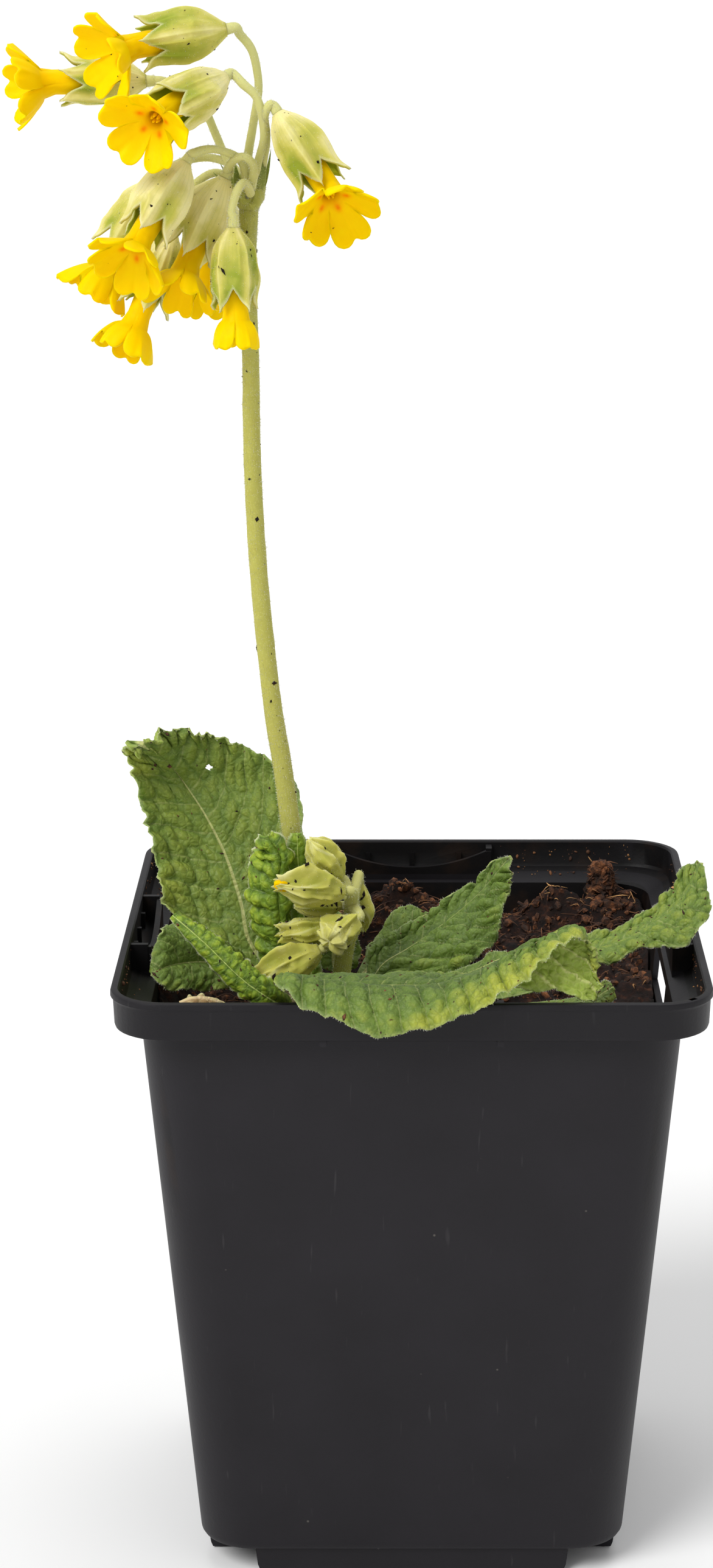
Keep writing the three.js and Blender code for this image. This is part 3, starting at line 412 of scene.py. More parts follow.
def square_ring(half, corner, z):
    """A square outline with rounded corners, at one height."""
    ring = []
    for k in range(4):
        cx = (1 if k in (0, 3) else -1) * (half - corner)
        cy = (1 if k < 2 else -1) * (half - corner)
        for a in (k + np.linspace(0, 1, CORNER_STEPS + 1)) * np.pi / 2:
            ring.append([cx + corner * np.cos(a), cy + corner * np.sin(a), z])
    return ring


def body_half(z):
    """Half of the body's width at a height, on its straight taper."""
    return np.interp(z, [BODY_BOTTOM + 1, RIM_BAND_BOTTOM], [BODY_HALF_BOTTOM, BODY_HALF_TOP])


def block(rings, turn=0):
    """A loose solid made of rings, turned by quarter turns about the pot's axis."""
    points, faces = closed(np.array(rings, float))
    cos, sin = [(1, 0), (0, 1), (-1, 0), (0, -1)][turn]
    x, y, z = points.T
    points = np.stack([cos * x - sin * y, sin * x + cos * y, z], -1) * MM
    mesh = bpy.data.meshes.new("block")
    flat = [face for f in faces for face in f.reshape(-1, f.shape[-1]).tolist()]
    mesh.from_pydata(points.tolist(), [], flat)
    made = bpy.data.objects.new("block", mesh)
    bpy.context.scene.collection.objects.link(made)
    return made


def box(x0, x1, y0, y1, z0, z1, turn=0):
    """A loose box."""
    return block([[[x0, y0, z], [x1, y0, z], [x1, y1, z], [x0, y1, z]] for z in (z0, z1)], turn)


def combine(target, tool, operation):
    """Adds or cuts away a loose solid."""
    cut = target.modifiers.new("combine", "BOOLEAN")
    cut.operation = operation
    cut.object = tool
    cut.solver = "EXACT"
    result = target.evaluated_get(bpy.context.evaluated_depsgraph_get())
    mesh = bpy.data.meshes.new_from_object(result)
    target.modifiers.clear()
    target.data = mesh
    bpy.data.objects.remove(tool)
    return target


# %% [markdown]
# The lip is rolled over a little, which catches the light along the whole rim. The band below it is almost
# upright and ends in a small step, under which the body tapers to the foot.
# %% Pot shape


def pot_shell():
    """The wall and floor: an outer solid less an inner one. Each ring has a half width, corner and height."""
    outside = [
        (BODY_HALF_BOTTOM - 1.0, CORNER - 1.0, BODY_BOTTOM),
        (BODY_HALF_BOTTOM - 0.4, CORNER - 0.4, BODY_BOTTOM + 0.15),
        (BODY_HALF_BOTTOM - 0.08, CORNER, BODY_BOTTOM + 0.6),
        (body_half(BODY_BOTTOM + 1.2), CORNER, BODY_BOTTOM + 1.2),
        (BODY_HALF_TOP, CORNER, RIM_BAND_BOTTOM),
        (RIM_BAND_HALF - 0.6, CORNER - 0.6, RIM_BAND_BOTTOM),
        (RIM_BAND_HALF - 0.15, CORNER - 0.15, RIM_BAND_BOTTOM + 0.2),
        (RIM_BAND_HALF, CORNER, RIM_BAND_BOTTOM + 0.7),
        (RIM_HALF - 0.35, CORNER, POT_TOP - 1.5),
        (RIM_HALF - 0.2, CORNER, POT_TOP - 1.2),
        (RIM_HALF, CORNER, POT_TOP - 0.9),
        (RIM_HALF, CORNER, POT_TOP - 0.4),
        (RIM_HALF - 0.12, CORNER - 0.12, POT_TOP - 0.1),
        (RIM_HALF - 0.4, CORNER - 0.4, POT_TOP),
    ]
    inside = [
        (body_half(BODY_BOTTOM + FLOOR) - WALL, CORNER - WALL, BODY_BOTTOM + FLOOR),
        (body_half(LEDGE_LOW) - WALL, CORNER - WALL, LEDGE_LOW),
        (body_half(LEDGE_LOW) - WALL + 0.25, CORNER - WALL, LEDGE_LOW + 0.1),
        (RIM_INSIDE_HALF - 0.35, CORNER - WALL, LEDGE_HIGH - 0.2),
        (RIM_INSIDE_HALF - 0.1, CORNER - WALL, LEDGE_HIGH + 0.3),
        (RIM_INSIDE_HALF, CORNER - WALL, POT_TOP - 0.3),
        (RIM_INSIDE_HALF + 0.35, CORNER - WALL, POT_TOP + 0.2),
    ]
    outside, inside = (block([square_ring(*ring) for ring in rings]) for rings in (outside, inside))
    return combine(outside, inside, "DIFFERENCE")


def foot_rings():
    """The straight foot below the front side, chamfered at the bottom."""
    rings = []
    for inset, z in ((1.6, 0), (0.7, 0.25), (0.4, FOOT_CHAMFER), (0, BODY_BOTTOM + 0.5)):
        x = FOOT_HALF_LENGTH + 0.6 - inset
        near = FOOT_INNER + inset * 0.4
        far = FOOT_OUTER - inset
        rings.append([[-x, -far, z], [x, -far, z], [x, -near, z], [-x, -near, z]])
    return rings


def pocket_bodies(turn):
    """A label pocket's loose solids: a plate with a hollowed top edge, two ends, and ribs on the wall."""
    low = LEDGE_LOW - 0.6
    face = -POCKET_FACE
    wall = -RIM_INSIDE_HALF - 0.3
    reach = POCKET_HALF - 1
    radius = (reach**2 + POCKET_SAG**2) / (2 * POCKET_SAG)
    dip = np.linspace(-1, 1, 25) * math.asin(reach / radius)
    edge = [[radius * math.sin(a), POCKET_TOP - POCKET_SAG + radius * (1 - math.cos(a))] for a in dip]
    above = POCKET_TOP + 2
    hollow = [
        [*([x, y, z] for x, z in edge), [reach, y, above], [-reach, y, above]] for y in (face + 2, face - 2)
    ]
    near = face - 0.4
    plate = box(-POCKET_HALF, POCKET_HALF, near, near + POCKET_PLATE, low, POCKET_TOP, turn)
    bodies = [combine(plate, block(hollow, turn), "DIFFERENCE")]
    for side in (-1, 1):
        x = side * (POCKET_HALF - 0.4)
        bodies.append(box(x - 0.5, x + 0.5, wall, face, low, POT_TOP - 0.6, turn))
    for x in POCKET_RIBS:
        bodies.append(box(x - 0.4, x + 0.4, wall, wall + 1, LEDGE_HIGH - 0.6, POCKET_TOP - 1, turn))
    return bodies


def make_pot():
    """Joins the shell, feet, pockets and standing disc, and cuts the slots and drain holes."""
    pot = pot_shell()
    low, high = BODY_BOTTOM - 1, BODY_BOTTOM + FLOOR + 1
    for turn in range(4):
        for body in [block(foot_rings(), turn), *pocket_bodies(turn)]:
            combine(pot, body, "UNION")
        if turn % 2 == 1:
            slot = box(-SLOT_HALF, SLOT_HALF, -RIM_INSIDE_HALF, -BODY_HALF_TOP + 3, SLOT_LOW, SLOT_HIGH, turn)
            combine(pot, slot, "DIFFERENCE")
        for x in DRAIN_MIDDLES:
            drain = box(x - DRAIN_HALF, x + DRAIN_HALF, -DRAIN_FAR, -DRAIN_NEAR, low, high, turn)
            combine(pot, drain, "DIFFERENCE")
    a = angles(48)
    outline = [(DISC_RADIUS * math.cos(t), DISC_RADIUS * math.sin(t)) for t in a]
    disc = [[[x, y, z] for x, y in outline] for z in (0, BODY_BOTTOM + 0.5)]
    combine(pot, block(disc), "UNION")
    pot.name = "pot_moulding"
    pot.data.name = "pot_moulding"
    return pot


pot = place_piece(make_pot(), "pot")
print("pot faces:", len(pot.data.polygons))

# %% [markdown]
# Recycled polypropylene comes out of the mould matte charcoal. Use leaves it a little dusty, with a few pale
# specks and very faint scratches, and a broad soft gloss where light grazes it.
# %% Moulded polypropylene
moulded_pp, tree, shader, places = start_material("moulded_polypropylene")
clouds = add(tree, "TexNoise", {"Vector": places, "Scale": PER_MM / 14, "Detail": 4})
dusty = add(tree, "Mix", {
    FACTOR: clouds.outputs["Fac"], MIX_A: "#151316", MIX_B: "#211f23",
}, data_type="RGBA")
# stretched along one slanting way, the noise turns into scratches
long_way = add(tree, "Mapping", {
    "Vector": places, "Rotation": (0.3, 0.5, 0.2), "Scale": (1, 1, 0.06),
})
scratch = add(tree, "TexNoise", {"Vector": long_way.outputs[0], "Scale": PER_MM / 0.9, "Detail": 2})
thin = add(tree, "ValToRGB", {"Fac": scratch.outputs["Fac"]},
           stops=[(0.70, "#000000"), (0.78, "#ffffff")])
faint = add(tree, "Math", {0: thin.outputs["Color"], 1: 0.05}, operation="MULTIPLY")
grit = add(tree, "TexVoronoi", {"Vector": places, "Scale": PER_MM / 8})
fleck = add(tree, "ValToRGB", {"Fac": grit.outputs["Distance"]},
            stops=[(0.015, "#ffffff"), (0.03, "#000000")])
flecks = add(tree, "Math", {0: fleck.outputs["Color"], 1: 0.2}, operation="MULTIPLY")
# each layer is laid over the colour so far, where its cover says
colour = dusty.outputs[MIXED]
for cover, over in ((faint.outputs[0], "#8c8a8a"), (flecks.outputs[0], "#a19a90")):
    colour = add(tree, "Mix", {
        FACTOR: cover, MIX_A: colour, MIX_B: over,
    }, data_type="RGBA").outputs[MIXED]
gloss = add(tree, "MapRange", {"Value": clouds.outputs["Fac"], "To Min": 0.42, "To Max": 0.6})
orange_peel = add(tree, "TexNoise", {"Vector": places, "Scale": PER_MM / 0.5, "Detail": 3})
relief = add(tree, "Bump", {
    "Height": orange_peel.outputs["Fac"], "Strength": 0.12, "Distance": 0.0002,
})
feed(tree, shader, {
    "Roughness": gloss.outputs[0], "Normal": relief.outputs[0], "IOR": 1.49, "Specular IOR Level": 0.22,
})
print(moulded_pp.name, "nodes:", len(tree.nodes))

# %% [markdown]
# Inside the pot, the wall above the fill and the inside of the rim are painted near black, flecked with peat
# brown: painted shade inside the pot, and none of it may show outside. Two materials would meet in a hard
# line, so one material tells by the place where it is. In a square as rounded as the pot, the 16th powers of
# x and y, each over the body's half width at that height, add up to 1 on the outside of a side, 0.67 on the
# inside of the wall, and 2.97 on the inside of the wider rim. The rim band is also painted darker than the
# body, as painted shade.
# %% Painted shade inside the pot and on the rim band
SQUARENESS = 16.0
INSIDE_WALL = (0.675, 0.72)
INSIDE_RIM = (2.98, 3.12)
# where the painted shade inside the pot starts, and where it is full
INNER_SHADE_START = 60.0
INNER_SHADE_FULL = 75.0

x_way, y_way, high = add(tree, "SeparateXYZ", {"Vector": places}).outputs
half_here = add(tree, "MapRange", {
    "Value": high, "From Min": BODY_BOTTOM * MM, "From Max": RIM_BAND_BOTTOM * MM,
    "To Min": BODY_HALF_BOTTOM * MM, "To Max": BODY_HALF_TOP * MM,
})
outside = None
for sideways in (x_way, y_way):
    part = add(tree, "Math", {0: sideways, 1: half_here.outputs[0]}, operation="DIVIDE")
    part = add(tree, "Math", {0: part.outputs[0]}, operation="ABSOLUTE")
    part = add(tree, "Math", {0: part.outputs[0], 1: SQUARENESS}, operation="POWER")
    if outside:
        part = add(tree, "Math", {0: part.outputs[0], 1: outside.outputs[0]}, operation="ADD")
    outside = part
within, in_rim = (
    add(tree, "MapRange", {
        "Value": outside.outputs[0], "From Min": start, "From Max": end, "To Min": 1.0, "To Max": 0.0,
    })
    for start, end in (INSIDE_WALL, INSIDE_RIM)
)
above = add(tree, "Math", {0: high, 1: (RIM_BAND_BOTTOM + 1) * MM}, operation="GREATER_THAN")
inner = add(tree, "Math", {0: in_rim.outputs[0], 1: above.outputs[0]}, operation="MULTIPLY")
inner = add(tree, "Math", {0: inner.outputs[0], 1: within.outputs[0]}, operation="MAXIMUM")
over_fill = add(tree, "MapRange", {
    "Value": high, "From Min": INNER_SHADE_START * MM, "From Max": INNER_SHADE_FULL * MM,
})
inner = add(tree, "Math", {0: inner.outputs[0], 1: over_fill.outputs[0]}, operation="MULTIPLY")
# painted shade: the inside of the pot above the fill is painted near black, flecked with peat brown
inner_shade_noise = add(tree, "TexNoise", {"Vector": places, "Scale": PER_MM / 5, "Detail": 6})
inner_shade = add(tree, "ValToRGB", {"Fac": inner_shade_noise.outputs["Fac"]},
            stops=[(0.5, "#090708"), (0.66, "#1f140d")])
# painted shade: the rim band is painted darker than the body
band_shade = add(tree, "MapRange", {
    "Value": high, "To Max": 0.35,
    "From Min": (RIM_BAND_BOTTOM - 0.5) * MM, "From Max": (RIM_BAND_BOTTOM + 0.3) * MM,
})
for cover, over in ((inner.outputs[0], inner_shade.outputs["Color"]), (band_shade.outputs[0], "#070608")):
    colour = add(tree, "Mix", {
        FACTOR: cover, MIX_A: colour, MIX_B: over,
    }, data_type="RGBA").outputs[MIXED]
feed(tree, shader, {"Base Color": colour})

pot.data.materials.clear()
pot.data.materials.append(moulded_pp)
pot.data.shade_smooth()
pot.data.set_sharp_from_angle(angle=math.radians(32))
print(moulded_pp.name, "nodes with the stains:", len(tree.nodes))

# %% [markdown]
# ## The peat
# The pot is filled with peat: a dark brown mat of crumbs and tan fibres, heaped at the back and hollow at
# the front right. A displaced plane would look like cloth, so the surface is rough at three sizes, and loose
# crumbs and fibres lie on it.
# %% Peat surface
SOIL_GAP = 0.35
SOIL_MIDDLE = 84.3
SOIL_LEVEL = 86.0
CROWN = (-14.5, -3.0)
CROWN_RADIUS = 8.8
CROWN_TOP = 86.0
CROWN_LOW = 68.4
SOIL_CELLS = 190
# each heap's height, its middle and its half widths. The hollow at the front right has a height below 0
HEAPS = [(7.0, -1, 28, 9, 7), (5.0, 34, 35, 8, 6), (1.0, *CROWN, 13, 13), (-5.5, 30, -20, 18, 20)]
# clumps are lumpy heaps. The last is peat pressed against the left slot, which keeps the light out of it
CLUMPS = [(2.5, 33, 37, 4, 2.6), (2.5, 24, 33, 4, 3), (1.5, -2, 26, 5, 4), (9.5, -40, -7, 3.5, 9)]


def bump(x, y, cx, cy, rx, ry):
    """A rounded heap, 1 high at its middle."""
    return np.exp(-(((x - cx) / rx) ** 2) - ((y - cy) / ry) ** 2)


def soil_height(x, y):
    """The height of the fill, without its lumps."""
    height = sum((rise * bump(x, y, *where) for rise, *where in HEAPS), SOIL_MIDDLE + 0.07 * y)
    return height + 0.5 * np.sin(x * 0.61 + 1.3) * np.sin(y * 0.53 + 0.4)


def soil_surface(x, y):
    """The height with the peat's own lumps on it, which die out at the rootstock."""
    p = np.stack([x, y], -1)
    lumps = 1.2 * rough(p, 5.0, 4, seed=11) + 0.7 * np.abs(rough(p, 1.9, 3, seed=17))
    away = smooth(np.hypot(x - CROWN[0], y - CROWN[1]), CROWN_RADIUS - 1, CROWN_RADIUS + 3)
    clump = sum(rise * bump(x, y, *where) for rise, *where in CLUMPS)
    return soil_height(x, y) + lumps * (0.3 + 0.7 * away) - 0.5 + clump * (1 + 0.4 * lumps)


def soil_half(z):
    """Half of the fill's width at a height."""
    return body_half(z) - WALL - SOIL_GAP


def square_grid(half, corner, cells):
    """A grid of places that fills a square with rounded corners."""
    t = np.linspace(-1, 1, cells + 1)
    x, y = np.meshgrid(t, t, indexing="ij")
    big = np.maximum(np.abs(x), np.abs(y))
    small = np.minimum(np.abs(x), np.abs(y))
    # a corner that sticks out of the rounding is drawn back along its own ray
    over_x = np.maximum(np.abs(x) * half - (half - corner), 0)
    over_y = np.maximum(np.abs(y) * half - (half - corner), 0)
    reach = np.hypot(over_x, over_y)
    shrink = np.where(reach > 0, np.maximum(over_x, over_y) / np.maximum(reach, 1e-9), 1)
    blend = smooth(small / np.maximum(big, 1e-9), 0, 1)
    keep = np.where((over_x > 0) & (over_y > 0), shrink, 1) * blend + (1 - blend)
    px = np.sign(x) * (np.minimum(np.abs(x) * half, half - corner) + over_x * keep)
    py = np.sign(y) * (np.minimum(np.abs(y) * half, half - corner) + over_y * keep)
    return px, py


def make_peat():
    """The fill: its rough top, and walls and a floor that follow the pot."""
    x, y = square_grid(soil_half(SOIL_LEVEL), CORNER - WALL, SOIL_CELLS)
    z = np.minimum(soil_surface(x, y), POT_TOP - 0.6)
    ratio = soil_half(np.minimum(z, LEDGE_LOW)) / soil_half(SOIL_LEVEL)
    top = np.stack([x * ratio, y * ratio, z], -1)
    n = SOIL_CELLS + 1
    index = np.arange(n * n).reshape(n, n)
    loop = np.concatenate([index[:-1, 0], index[-1, :-1], index[:0:-1, -1], index[0, :0:-1]])
    low = BODY_BOTTOM + FLOOR + SOIL_GAP
    shrink = soil_half(low) / soil_half(SOIL_LEVEL)
    foot = np.stack([x.ravel()[loop] * shrink, y.ravel()[loop] * shrink, np.full(len(loop), low)], -1)
    ring = n * n + np.arange(len(loop))
    following = np.roll(loop, -1)
    ring_next = np.roll(ring, -1)
    middle = np.full(len(loop), n * n + len(loop))
    walls = np.stack([loop, ring, ring_next, following], -1)
    bottom = np.stack([ring, middle, ring_next], -1)
    form = Form()
    form.add(np.concatenate([top.reshape(-1, 3), foot, [[0, 0, low]]]), [grid_quads(n, n), walls, bottom])
    return form


peat = make_peat()
print("peat points:", peat.count)


# %% [markdown]
# Moist peat is nearly black between the crumbs and red brown on them, and very rough. Its crumbs dry first
# and are paler, and its fibres are tan. The root's pattern is stretched upright, as its fibres are.
# %% Peat, fibre and root finishes
moist_peat, tree, shader, places = start_material("moist_peat")
clods = add(tree, "TexNoise", {
    "Vector": places, "Scale": PER_MM / 2.2, "Detail": 6, "Roughness": 0.7,
})
brown = add(tree, "ValToRGB", {"Fac": clods.outputs["Fac"]},
            stops=[(0.36, "#0b0705"), (0.72, "#60361c"), (0.55, "#27130b")])
crumble = add(tree, "TexNoise", {
    "Vector": places, "Scale": PER_MM / 0.5, "Detail": 5, "Roughness": 0.75,
})
relief = add(tree, "Bump", {"Height": crumble.outputs["Fac"], "Strength": 0.9, "Distance": 0.0006})
feed(tree, shader, {
    "Base Color": brown.outputs["Color"], "Normal": relief.outputs[0], "Roughness": 0.92, "IOR": 1.4,
})

dry_fibre, tree, shader, places = start_material("dry_peat_fibre")
strands = add(tree, "TexNoise", {"Vector": places, "Scale": PER_MM / 6, "Detail": 3})
tan = add(tree, "ValToRGB", {"Fac": strands.outputs["Fac"]},
          stops=[(0.38, "#3a2113"), (0.7, "#cc9c62"), (0.54, "#744a2a")])
feed(tree, shader, {"Base Color": tan.outputs["Color"], "Roughness": 0.8})

fibrous_root, tree, shader, places = start_material("fibrous_root")
upright = add(tree, "Mapping", {"Vector": places, "Scale": (1, 1, 0.15)})
strands = add(tree, "TexNoise", {"Vector": upright.outputs[0], "Scale": PER_MM / 0.8, "Detail": 5})
pale = add(tree, "ValToRGB", {"Fac": strands.outputs["Fac"]},
           stops=[(0.35, "#3f3522"), (0.7, "#a79b6b")])
relief = add(tree, "Bump", {"Height": strands.outputs["Fac"], "Strength": 0.7, "Distance": 0.0005})
feed(tree, shader, {"Base Color": pale.outputs["Color"], "Normal": relief.outputs[0], "Roughness": 0.85})

crumbly_peat, tree, shader, places = start_material("crumbly_peat")
clods = add(tree, "TexNoise", {
    "Vector": places, "Scale": PER_MM / 1.5, "Detail": 5, "Roughness": 0.7,
})
brown = add(tree, "ValToRGB", {"Fac": clods.outputs["Fac"]},
            stops=[(0.34, "#120b07"), (0.66, "#86522e"), (0.5, "#402412")])
relief = add(tree, "Bump", {"Height": clods.outputs["Fac"], "Strength": 0.8, "Distance": 0.0005})
feed(tree, shader, {"Base Color": brown.outputs["Color"], "Normal": relief.outputs[0], "Roughness": 0.9})

make_piece("peat_surface", peat, moist_peat, "peat")
print("finishes:", [made.name for made in (moist_peat, dry_fibre, fibrous_root, crumbly_peat)])

# %% [markdown]
# Loose crumbs of peat lie on the fill, most of them on its heaps, and tan fibres between them. One clod
# stands at the back right, and crumbs are heaped up to the left slot. Each has to be in the exported mesh,
# so it isn't a particle but a ball of 20 faces, stretched and dented its own way, or a thin bent rod.
# %% Crumb and fibre shapes
GOLDEN = (1 + 5**0.5) / 2
BALL = unit(np.array([
    [-1, GOLDEN, 0], [1, GOLDEN, 0], [-1, -GOLDEN, 0], [1, -GOLDEN, 0], [0, -1, GOLDEN], [0, 1, GOLDEN],
    [0, -1, -GOLDEN], [0, 1, -GOLDEN], [GOLDEN, 0, -1], [GOLDEN, 0, 1], [-GOLDEN, 0, -1], [-GOLDEN, 0, 1],
]))
BALL_FACES = np.array([
    [0, 11, 5], [0, 5, 1], [0, 1, 7], [0, 7, 10], [0, 10, 11], [1, 5, 9], [5, 11, 4], [11, 10, 2], [10, 7, 6],
    [7, 1, 8], [3, 9, 4], [3, 4, 2], [3, 2, 6], [3, 6, 8], [3, 8, 9], [4, 9, 5], [2, 4, 11], [6, 2, 10],
    [8, 6, 7], [9, 8, 1],
])


def add_crumb(form, place, size, rng, flat=0.7):
    """One crumb: a dented ball, wider than high."""
    stretch = rng.uniform(0.4, 1.5, 3)
    stretch[2] *= flat
    turn = np.linalg.qr(rng.normal(size=(3, 3)))[0]
    turn = turn * np.sign(np.linalg.det(turn))
    points = (BALL * rng.uniform(0.7, 1.15, (len(BALL), 1)) * stretch * size) @ turn
    form.add(points + place, [BALL_FACES])


def add_fibre(form, place, length, width, rng, rise=0.25):
    """One bent fibre."""
    a = rng.uniform(0, 2 * np.pi)
    way = np.array([np.cos(a), np.sin(a), rng.uniform(-0.1, rise)])
    bend = rng.normal(size=3) * length * 0.12
    bend[2] = abs(bend[2])
    path = [place - way * length / 2, place + bend, place + way * length / 2 + rng.normal(size=3) * 0.3]
    form.add(*closed(tube(path, [width * 0.5, width, width * 0.3], 4, 5)))


def soil_place(rng, lift):
    """A random place on the peat, more often on its heaps."""
    while True:
        x, y = rng.uniform(-38, 38, 2)
        high = soil_height(x, y) - SOIL_MIDDLE
        if rng.uniform() < 0.35 + 0.2 * high:
            return np.array([x, y, soil_surface(np.array(x), np.array(y)) + lift])


print("faces of a crumb:", len(BALL_FACES))

# %% Scatter crumbs and fibres
CRUMB_COUNT = 3300
SLOT_CRUMBS = 90
CLOD_CRUMBS = 260
FIBRE_COUNT = 1150
CLOD_FIBRES = 45
# the crumbs at the left slot: how far they are out from the middle, how far back, and how high
SLOT_OUT = (39.0, 40.4)
SLOT_BACK = (-12, 2)
SLOT_UP = (84, 90.3)
# the clod's middle and the height of its top
CLOD = (32.0, 36.3, 96.0)
CLOD_RADIUS = 2.3


def clod_place(rng):
    """A random place in the upright clod, which is narrower at the top."""
    low = float(soil_surface(np.array(CLOD[0]), np.array(CLOD[1]))) - 1
    z = rng.uniform(low, CLOD[2])
    a = rng.uniform(0, 2 * np.pi)
    r = CLOD_RADIUS * (1 - 0.45 * (z - low) / (CLOD[2] - low)) * rng.uniform() ** 0.4
    return np.array([CLOD[0] + r * np.cos(a), CLOD[1] + 0.8 * r * np.sin(a), z])


rng = np.random.default_rng(5)
crumbs = Form()
for _ in range(CRUMB_COUNT):
    size = 0.18 + 0.95 * rng.uniform() ** 4
    add_crumb(crumbs, soil_place(rng, size * 0.2), size, rng)
for _ in range(SLOT_CRUMBS):
    place = np.array([-rng.uniform(*SLOT_OUT), rng.uniform(*SLOT_BACK), rng.uniform(*SLOT_UP)])
    add_crumb(crumbs, place, rng.uniform(0.5, 0.9), rng, flat=1.0)
for _ in range(CLOD_CRUMBS):
    add_crumb(crumbs, clod_place(rng), rng.uniform(0.5, 1.1), rng, flat=1.0)
make_piece("peat_crumbs", crumbs, crumbly_peat, sharp=24)

fibres = Form()
for _ in range(FIBRE_COUNT):
    length = 0.8 + 4.5 * rng.uniform() ** 2
    add_fibre(fibres, soil_place(rng, 0.3), length, rng.uniform(0.05, 0.15), rng)
for _ in range(CLOD_FIBRES):
    add_fibre(fibres, clod_place(rng), rng.uniform(1.5, 3.5), rng.uniform(0.08, 0.16), rng, rise=0.9)
make_piece("peat_fibres", fibres, dry_fibre)
print("crumb points:", crumbs.count, "fibre points:", fibres.count)

# %% [markdown]
# Watering leaves dried peat on the inside of the rim, most of it at the back. It lies on the wall and on the
# ledge as small tan flakes. They catch grazing light, which specks in the pot's material wouldn't.
# %% Dust on the rim
DUST_COUNT = 420
# the share of the dust at the front, back, right and left
DUST_SHARES = [0.1, 0.5, 0.2, 0.2]
DUST_ON_LEDGE = 0.35

rim_dust = Form()
for _ in range(DUST_COUNT):
    turn = rng.choice(4, p=DUST_SHARES)
    across = rng.uniform(-38, 38)
    on_ledge = rng.uniform() < DUST_ON_LEDGE
    deep = rng.uniform(41.2, 43.2) if on_ledge else RIM_INSIDE_HALF - 0.08
    z = np.interp(deep, [40, RIM_INSIDE_HALF - 0.35], [LEDGE_LOW + 0.1, LEDGE_HIGH - 0.2]) if on_ledge else 0
    z = z + 0.05 if on_ledge else rng.uniform(LEDGE_HIGH + 0.4, POT_TOP - 0.6)
    place = [(across, -deep, z), (across, deep, z), (deep, across, z), (-deep, across, z)][turn]
    in_pocket = abs(across) < POCKET_HALF + 1
    if not in_pocket:
        add_crumb(rim_dust, np.array(place), 0.1 + 0.35 * rng.uniform() ** 3, rng)
make_piece("rim_dust", rim_dust, dry_fibre)
print("flakes on the rim:", rim_dust.count // len(BALL))

# %% [markdown]
# The leaves and stalks grow from a short rootstock, half out of the peat. It is a rough stump with the scars
# of old leaves on it.
# %% Rootstock
a = angles(72)
levels = np.linspace(CROWN_LOW, CROWN_TOP, 40)
radius = np.interp(levels, [CROWN_LOW, CROWN_LOW + 5.6, CROWN_TOP - 1.4, CROWN_TOP],
                   [CROWN_RADIUS * 0.55, CROWN_RADIUS * 0.9, CROWN_RADIUS, CROWN_RADIUS - 0.5])
x = radius[:, None] * np.cos(a)
y = radius[:, None] * np.sin(a)
z = np.broadcast_to(levels[:, None], x.shape)
scar = 0.4 * noise(np.stack([x, y, z], -1), 2.2, seed=3)
rings = np.stack([CROWN[0] + x * (1 + scar / 9), CROWN[1] + y * (1 + scar / 9), z], -1)
stump = Form()
stump.add(*closed(rings))
make_piece("rootstock_stump", stump, fibrous_root, "rootstock")
print("rootstock from", CROWN_LOW, "to", CROWN_TOP)

# %% [markdown]
# ## Stalks
# A cowslip's stalk is a juicy hollow stem, pale yellow green, a little bluer green at both ends, where it
# is also painted darker as shade under the umbel and among the leaves at the foot, and covered in short white
# down. The down could be a particle system, but it has to be in the exported mesh, so every hair is a thin
# pyramid of four faces.
# %% Living stem
living_stem, tree, shader, places = start_material("living_stem")
split = add(tree, "SeparateXYZ", {"Vector": places})
# both ends are bluer green and painted darker: painted shade under the umbel and among the leaves at the foot
height = add(tree, "MapRange", {"Value": split.outputs["Z"], "From Min": 0.085, "From Max": 0.225})
green_with_end_shade = add(tree, "ValToRGB", {"Fac": height.outputs[0]},
            stops=[(0.0, "#84903f"), (1.0, "#869242"), (0.3, "#aaa44c"),
                   (0.7, "#a6a047")])
mottle = add(tree, "TexNoise", {"Vector": places, "Scale": PER_MM / 1.4, "Detail": 4})
down_dots = add(tree, "TexVoronoi", {"Vector": places, "Scale": PER_MM / 0.35})
dots = add(tree, "ValToRGB", {"Fac": down_dots.outputs["Distance"]},
           stops=[(0.18, "#ffffff"), (0.4, "#000000")])
dotted = add(tree, "Math", {0: dots.outputs["Color"], 1: 0.3}, operation="MULTIPLY")
pale = add(tree, "Attribute", attribute_name="pale").outputs["Fac"]
leafy = add(tree, "Attribute", attribute_name="leafy").outputs["Fac"]
colour = green_with_end_shade.outputs["Color"]
for cover, over in (
    (mottle.outputs["Fac"], "#b5b35c"), (pale, "#d2cf8c"), (leafy, "#586b26"), (dotted.outputs[0], "#cccc7c"),
):
    colour = add(tree, "Mix", {
        FACTOR: cover, MIX_A: colour, MIX_B: over,
    }, data_type="RGBA").outputs[MIXED]
relief = add(tree, "Bump", {
    "Height": down_dots.outputs["Distance"], "Strength": 0.25, "Distance": 0.0001,
})
# the subsurface radius says how many metres red, green and blue light get through the tissue
feed(tree, shader, {
    "Base Color": colour, "Normal": relief.outputs[0],
    "Roughness": 0.6, "Specular IOR Level": 0.2,
    "Subsurface Weight": 0.3, "Subsurface Radius": (0.0008, 0.0009, 0.0003), "Subsurface Scale": 1.0,
})
print(living_stem.name, "nodes:", len(tree.nodes))

white_down, tree, shader, places = start_material("white_down")
tint = add(tree, "TexNoise", {"Vector": places, "Scale": PER_MM / 3})
pale = add(tree, "Mix", {
    FACTOR: tint.outputs["Fac"], MIX_A: "#dfe2c4", MIX_B: "#f4f4e6",
}, data_type="RGBA")
feed(tree, shader, {"Base Color": pale.outputs[MIXED], "Roughness": 0.5})

# %% Hairs


